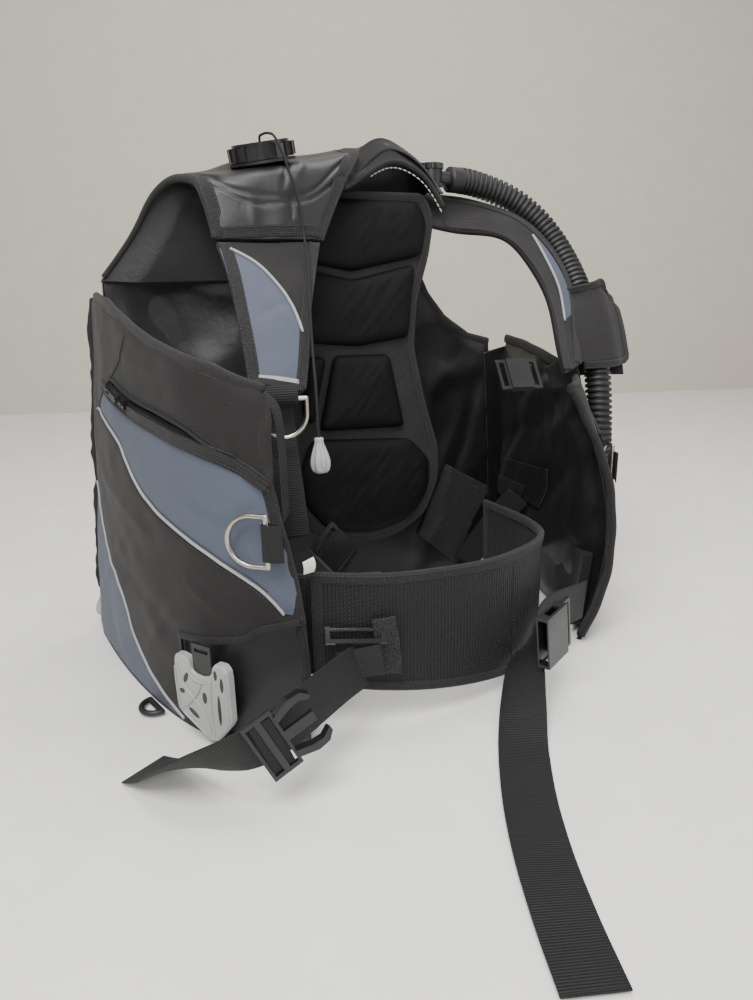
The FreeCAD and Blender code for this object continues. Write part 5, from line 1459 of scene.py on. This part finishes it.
# ---------------------------------------------------------------- ring tabs
def make_ring_tab(name, centre, bar, hang, out, front_reach, back_reach, width, replaces=()):
    """Webbing folded round a ring's bar, both tails lying towards the seam that holds them."""
    centre, bar, hang, out = (np.array(v, float) for v in (centre, bar, hang, out))
    gap = 4.1
    route = [centre - hang * front_reach + out * 1.5, centre - hang * front_reach * 0.5 + out * gap,
             centre + out * gap, centre + (hang + out) * gap * 0.71, centre + hang * gap,
             centre + (hang - out) * gap * 0.71, centre - out * gap, centre - hang * back_reach - out * gap * 1.15]
    ribbon(name, route, [bar] * len(route), width, 1.6, "webbing_black", replaces, 1.2)


make_ring_tab("right_wing_ring_tab", (-215, -209, 228), (0, 0, 1), (-0.74, 0.67, 0), (-0.67, -0.74, 0), 17, 12, 36,
              ["d_ring_tabs"])
make_ring_tab("left_wing_ring_tab", (258, -149, 228), (0, 0, 1), (0.42, 0.91, 0), (0.91, -0.42, 0), 14, 10, 36)
make_ring_tab("shoulder_ring_tab", (-160, -112.6, 343.5), (0.953, -0.301, 0), (0, 0, -1), (-0.301, -0.953, 0),
              14, 12, 34)


# ---------------------------------------------------------------- pull knobs
KNOB_PROFILE = [(0.0, 3.2), (0.8, 4.6), (4.0, 5.0), (10.0, 6.6), (18.0, 9.4), (24.0, 11.0), (28.0, 11.2), (33.0, 10.2),
                (36.0, 8.4), (37.6, 5.6), (38.0, 2.0)]


def make_knob(name, route, node):
    """Fluted bell: eight lobes round it, narrow where the cord enters."""
    way = unit(np.array(route[-1], float) - np.array(route[-2], float))
    start = np.array(route[-1], float) - way * 5.0
    dense = spline(KNOB_PROFILE)(np.linspace(0, 1, 60))
    circle = round_section(1.0, 64)
    lobes = 0.5 + 0.5 * np.cos(8 * np.arange(64) * 2 * math.pi / 64)
    depth = 0.17 * ramp(dense[:, 0], 3, 10) * ramp(38 - dense[:, 0], 1, 7)
    radius = dense[:, 1, None] * (1 - depth[:, None] * (1 - lobes[None]) ** 1.6)
    profile = circle[None] * radius[..., None]
    side = (1, 0, 0) if abs(way[2]) > 0.5 else (0, 1, 0)
    return strip(name, start + way * dense[:, :1], side, profile, "knob_grey", body=node, replaces=[node])


dump_knob = make_knob("dump_knob_visual", DUMP_CORD_ROUTE, "dump_pull_knob")
rear_knob = make_knob("rear_knob_visual", REAR_CORD_ROUTE, "rear_dump_knob")
make_cord("dump_cord_visual", DUMP_CORD_ROUTE, "dump_pull_knob", "dump_pull_cord", 11)
make_cord("rear_cord_visual", REAR_CORD_ROUTE, "rear_dump_knob", "rear_dump_cord", 2)


# ---------------------------------------------------------------- pinch clips
CLIP_OUTLINE = [(-35, 38), (-33, 43), (-26, 44), (-17, 42), (-14.5, 37), (-13, 31), (-7, 27), (2, 26), (10, 28),
                (15, 33), (16.5, 40), (20, 44.5), (31, 45), (36, 40), (37, 30), (37, -16), (33, -24), (16, -44),
                (9, -46), (3, -45), (-30, -25), (-36, -19), (-37, -8), (-36.5, 15)]
CLIP_RIBS = [
    ([(-31, 36), (-27, 18), (-17, 4), (-3, -8), (6, -22), (9, -38)], 2.6),
    ([(-32, -18), (-22, -12), (-12, -2), (-3, 10), (2, 22)], 2.6),
    ([(-34, 30), (-33.5, 5), (-32, -17)], 2.2),
    ([(-28, -22), (-12, -31), (4, -41)], 2.2),
    ([(14, 26), (12.5, 8), (12, -12), (13, -40)], 3.0),
    ([(33.5, 39), (34, 10), (33, -18), (18, -39)], 2.4),
    ([(-16, 33), (-12, 24), (-3, 20), (8, 21)], 2.0),
]
CLIP_HOLES = [((-20, 20), (6.5, 2.6), 65), ((-27, 3), (3.6, 3.0), 0), ((-13, -19), (8.0, 3.0), -32),
              ((4, 3), (3.0, 6.5), 0), ((23, -6), (2.2, 17.0), 0), ((28.5, 24), (2.2, 8.0), 0),
              ((21, 33), (2.2, 5.5), 0)]


def make_clip(name, seat, outward, node):
    """Cast grey clip: a bevelled plate with raised ribs, and black discs flush with its face as painted shade in its
    recesses.
    """
    seat, outward = np.array(seat, float), np.array(outward, float)
    across = unit(np.cross(-outward, UP))

    def at(flat, front):
        flat = np.asarray(flat, float)
        return seat + flat[..., :1] * across + flat[..., 1:] * UP + outward * front
    ring = smooth_outline(CLIP_OUTLINE, 3.0, 2)
    ahead = unit(np.roll(ring, -1, axis=0) - np.roll(ring, 1, axis=0))
    inward = np.stack([ahead[:, 1], -ahead[:, 0]], -1)
    layers = [(0.0, 0.4), (0.0, 7.6), (0.7, 9.0), (2.0, 9.7), (3.2, 9.7)]
    verts = np.concatenate([at(ring + inward * depth, front) for depth, front in layers])
    total = len(ring)
    faces = []
    for level in range(len(layers) - 1):
        for j in range(total):
            k = (j + 1) % total
            faces.append([level * total + j, level * total + k, (level + 1) * total + k, (level + 1) * total + j])
    faces.append(list(range(total)))
    faces.append([(len(layers) - 1) * total + j for j in range(total)][::-1])
    uv = np.concatenate([ring] * len(layers))
    mesh(name, verts, faces, uv, [M["plastic_grey"]], smooth=False, replaces=[node], slot="plastic_grey")
    for number, (points, width) in enumerate(CLIP_RIBS):
        path = at(curve(points, 1.2), 9.9)
        swell = np.sin(np.linspace(0.12, 1, len(path)) * math.pi * 0.94) ** 0.4
        profile = flat_section(width, 3.0, 0.45)[None] * swell[:, None, None]
        strip("%s_rib_%d" % (name, number), path, np.cross(outward, np.gradient(path, axis=0)), profile,
              "plastic_grey")
    sides = 28
    faces = [[j, (j + 1) % sides, sides + (j + 1) % sides, sides + j] for j in range(sides)]
    faces += [list(range(sides))[::-1], list(range(sides, 2 * sides))]
    # Painted shade: black discs flush with the face stand in for the shade inside the clip's recesses.
    for number, (centre, (wide, tall), tilt) in enumerate(CLIP_HOLES):
        turn = math.radians(tilt)
        flat = round_section(1.0, sides) * (wide, tall)
        flat = np.stack([flat[:, 0] * math.cos(turn) - flat[:, 1] * math.sin(turn),
                         flat[:, 0] * math.sin(turn) + flat[:, 1] * math.cos(turn)], -1) + np.array(centre)
        verts = np.concatenate([at(flat, 9.0), at(flat, 9.85)])
        mesh("%s_recess_%d" % (name, number), verts, faces, np.concatenate([flat, flat]), [M["plastic_black"]],
             smooth=False, slot="plastic_grey")


make_clip("right_clip_visual", (-269.37, -152.65, 54.0), (-0.8395, -0.5434, 0.0), "right_pinch_clip")
make_clip("left_clip_visual", (275.38, -92.44, 54.0), (0.968, -0.2508, 0.0), "left_pinch_clip")


# ---------------------------------------------------------------- waist belt start, tab and size tag
BAND_WAY = (0.93, -0.37, 0.0)
ribbon("belt_start", [(-131, -219, 104), (-129, -220.5, 90), (-126, -219.5, 70)], [BAND_WAY] * 3, 46, 1.8,
       "webbing_black", step=2.0)
ribbon("slider_tab", [(-101, -219, 130), (-100, -222.5, 112), (-98, -224, 92), (-97, -222, 68)], [BAND_WAY] * 4,
       24, 2.6, "loop_black", step=2.0)
BUCKLE_AT, BUCKLE_WAY = np.array([-246.0, -287.0, 70.0]), unit(np.array([0.93, -0.02, 0.37]))
ribbon("buckle_webbing", [BUCKLE_AT - BUCKLE_WAY * 11.5, BUCKLE_AT, BUCKLE_AT + BUCKLE_WAY * 11.5],
       [(0.42, -0.16, -0.87)] * 3, 50, 1.8, "webbing_black", step=2.0)
ribbon("size_tag", [(-170, -194, 198), (-169, -195.5, 191), (-170, -195, 184)],
       [(0.93, 0.36, 0), (0.93, 0.3, 0), (0.9, 0.4, 0)], 15, 0.5, "tag_white", step=1.5)


# ---------------------------------------------------------------- pieces inside the left waist
def patch_grid(corners, counts):
    """Shares and heights over a patch between four (share, height) corners."""
    a, b, c, d = (np.array(q, float) for q in corners)
    i, j = (grid[..., None] for grid in shares(*counts))
    flat = a * (1 - i) * (1 - j) + b * i * (1 - j) + c * i * j + d * (1 - i) * j
    return flat[..., 0], flat[..., 1]


def patch(name, face, rear, run, heights, material):
    shell(name, face, rear, [M[material]], uv=np.stack([run, heights], -1), slot=material)


def make_loop_panel():
    """Loop fastener lying on the back lining, beside the pad."""
    along, heights = patch_grid([(0.825, 182), (0.985, 126), (0.845, 10), (0.719, 79)], (60, 60))
    face = back_face(along, heights) - np.array([0.0, 3.6, 0.0])
    patch("loop_panel", face, face + np.array([0.0, 2.6, 0.0]), along * BACK_RUN, heights, "loop_black")


def left_patch(name, corners, lift, thick, material):
    """Cloth lying on the left wing's lining."""
    along, heights = patch_grid(corners, (50, 40))
    rear, outward = left_lining(along, heights), left_outward(along, heights)
    patch(name, rear - outward * (lift + thick), rear - outward * lift, along * LEFT_RUN, heights, material)


make_loop_panel()
left_patch("waist_anchor", [(0.16, 182), (0.55, 192), (0.52, 132), (0.16, 124)], 1.0, 3.0, "coated_black")
left_patch("waist_anchor_web", [(0.10, 148), (0.40, 156), (0.36, 122), (0.08, 112)], 4.4, 2.0, "webbing_black")
ribbon("waist_diagonal", [(262, 44, 138), (254, 66, 112), (244, 92, 76), (230, 112, 38), (220, 122, 12)],
       [(0.67, -0.51, -0.54)] * 5, 38, 2.0, "webbing_black")
ribbon("left_corner_gusset", [(308, 153, 4), (301, 151, 170), (286, 147, 350)], [(0.94, 0.33, 0.0)] * 3, 66, 3.0,
       "coated_black")
ribbon("buckle_triangle", [(232, -66, 352), (240, -70, 336), (244, -72, 318)],
       [(0.55, -0.83, 0.1), (0.5, -0.86, 0.0), (0.5, -0.86, 0.0)], 42, 2.2, "webbing_black")


# ---------------------------------------------------------------- finish of the carried-over parts
HARD = ("plastic_black", "plastic_gloss", "plastic_grey", "knob_grey")
for part in frame["record"]["subparts"]:
    obj = nodes[part["node"]]
    slot = part["material_slot"]
    obj.data.materials.clear()
    obj.data.materials.append(LOOSE.get(slot) or M[slot])
    if obj.hide_render:
        continue
    if slot in HARD:
        bevel = obj.modifiers.new("edge", "BEVEL")
        bevel.width = 0.0006
        bevel.segments = 2
        bevel.limit_method = "ANGLE"
        bevel.angle_limit = math.radians(35)


# ---------------------------------------------------------------- floor and light
def make_stage():
    for name, look, colour, roughness, place, turn in (
            ("floor", "floor", (0.80, 0.79, 0.76), 0.6, (0, 1.0, 0), (0, 0, 0)),
            ("backdrop", "wall", (0.56, 0.52, 0.44), 0.8, (0.8, 1.7, 3), (90, 0, -20))):
        bpy.ops.mesh.primitive_plane_add(size=12, location=place, rotation=[math.radians(a) for a in turn])
        sheet = bpy.context.object
        sheet.name = name
        sheet.data.materials.append(mould(look, colour, roughness, grain=0.00005, wear=0.05))
    world = bpy.data.worlds.new("studio")
    bpy.context.scene.world = world
    world.use_nodes = True
    background = world.node_tree.nodes["Background"]
    background.inputs[0].default_value = (0.95, 0.96, 1.0, 1)
    background.inputs[1].default_value = 0.40
    for name, place, aim, size, power in (("key", (-0.9, -1.0, 2.0), (0, 0, 0.3), 1.1, 58),
                                          ("fill", (1.6, -1.4, 1.2), (0, 0, 0.3), 1.6, 12),
                                          ("front", (-0.9, -2.2, 1.3), (0.1, 0, 0.25), 0.9, 26),
                                          ("top", (0.4, 0.1, 2.4), (0, 0, 0.3), 1.2, 34)):
        data = bpy.data.lights.new(name, "AREA")
        data.energy = power
        data.size = size
        light = bpy.data.objects.new(name, data)
        light.location = place
        way = Vector(aim) - Vector(place)
        light.rotation_euler = way.to_track_quat("-Z", "Y").to_euler()
        bpy.context.scene.collection.objects.link(light)


make_stage()
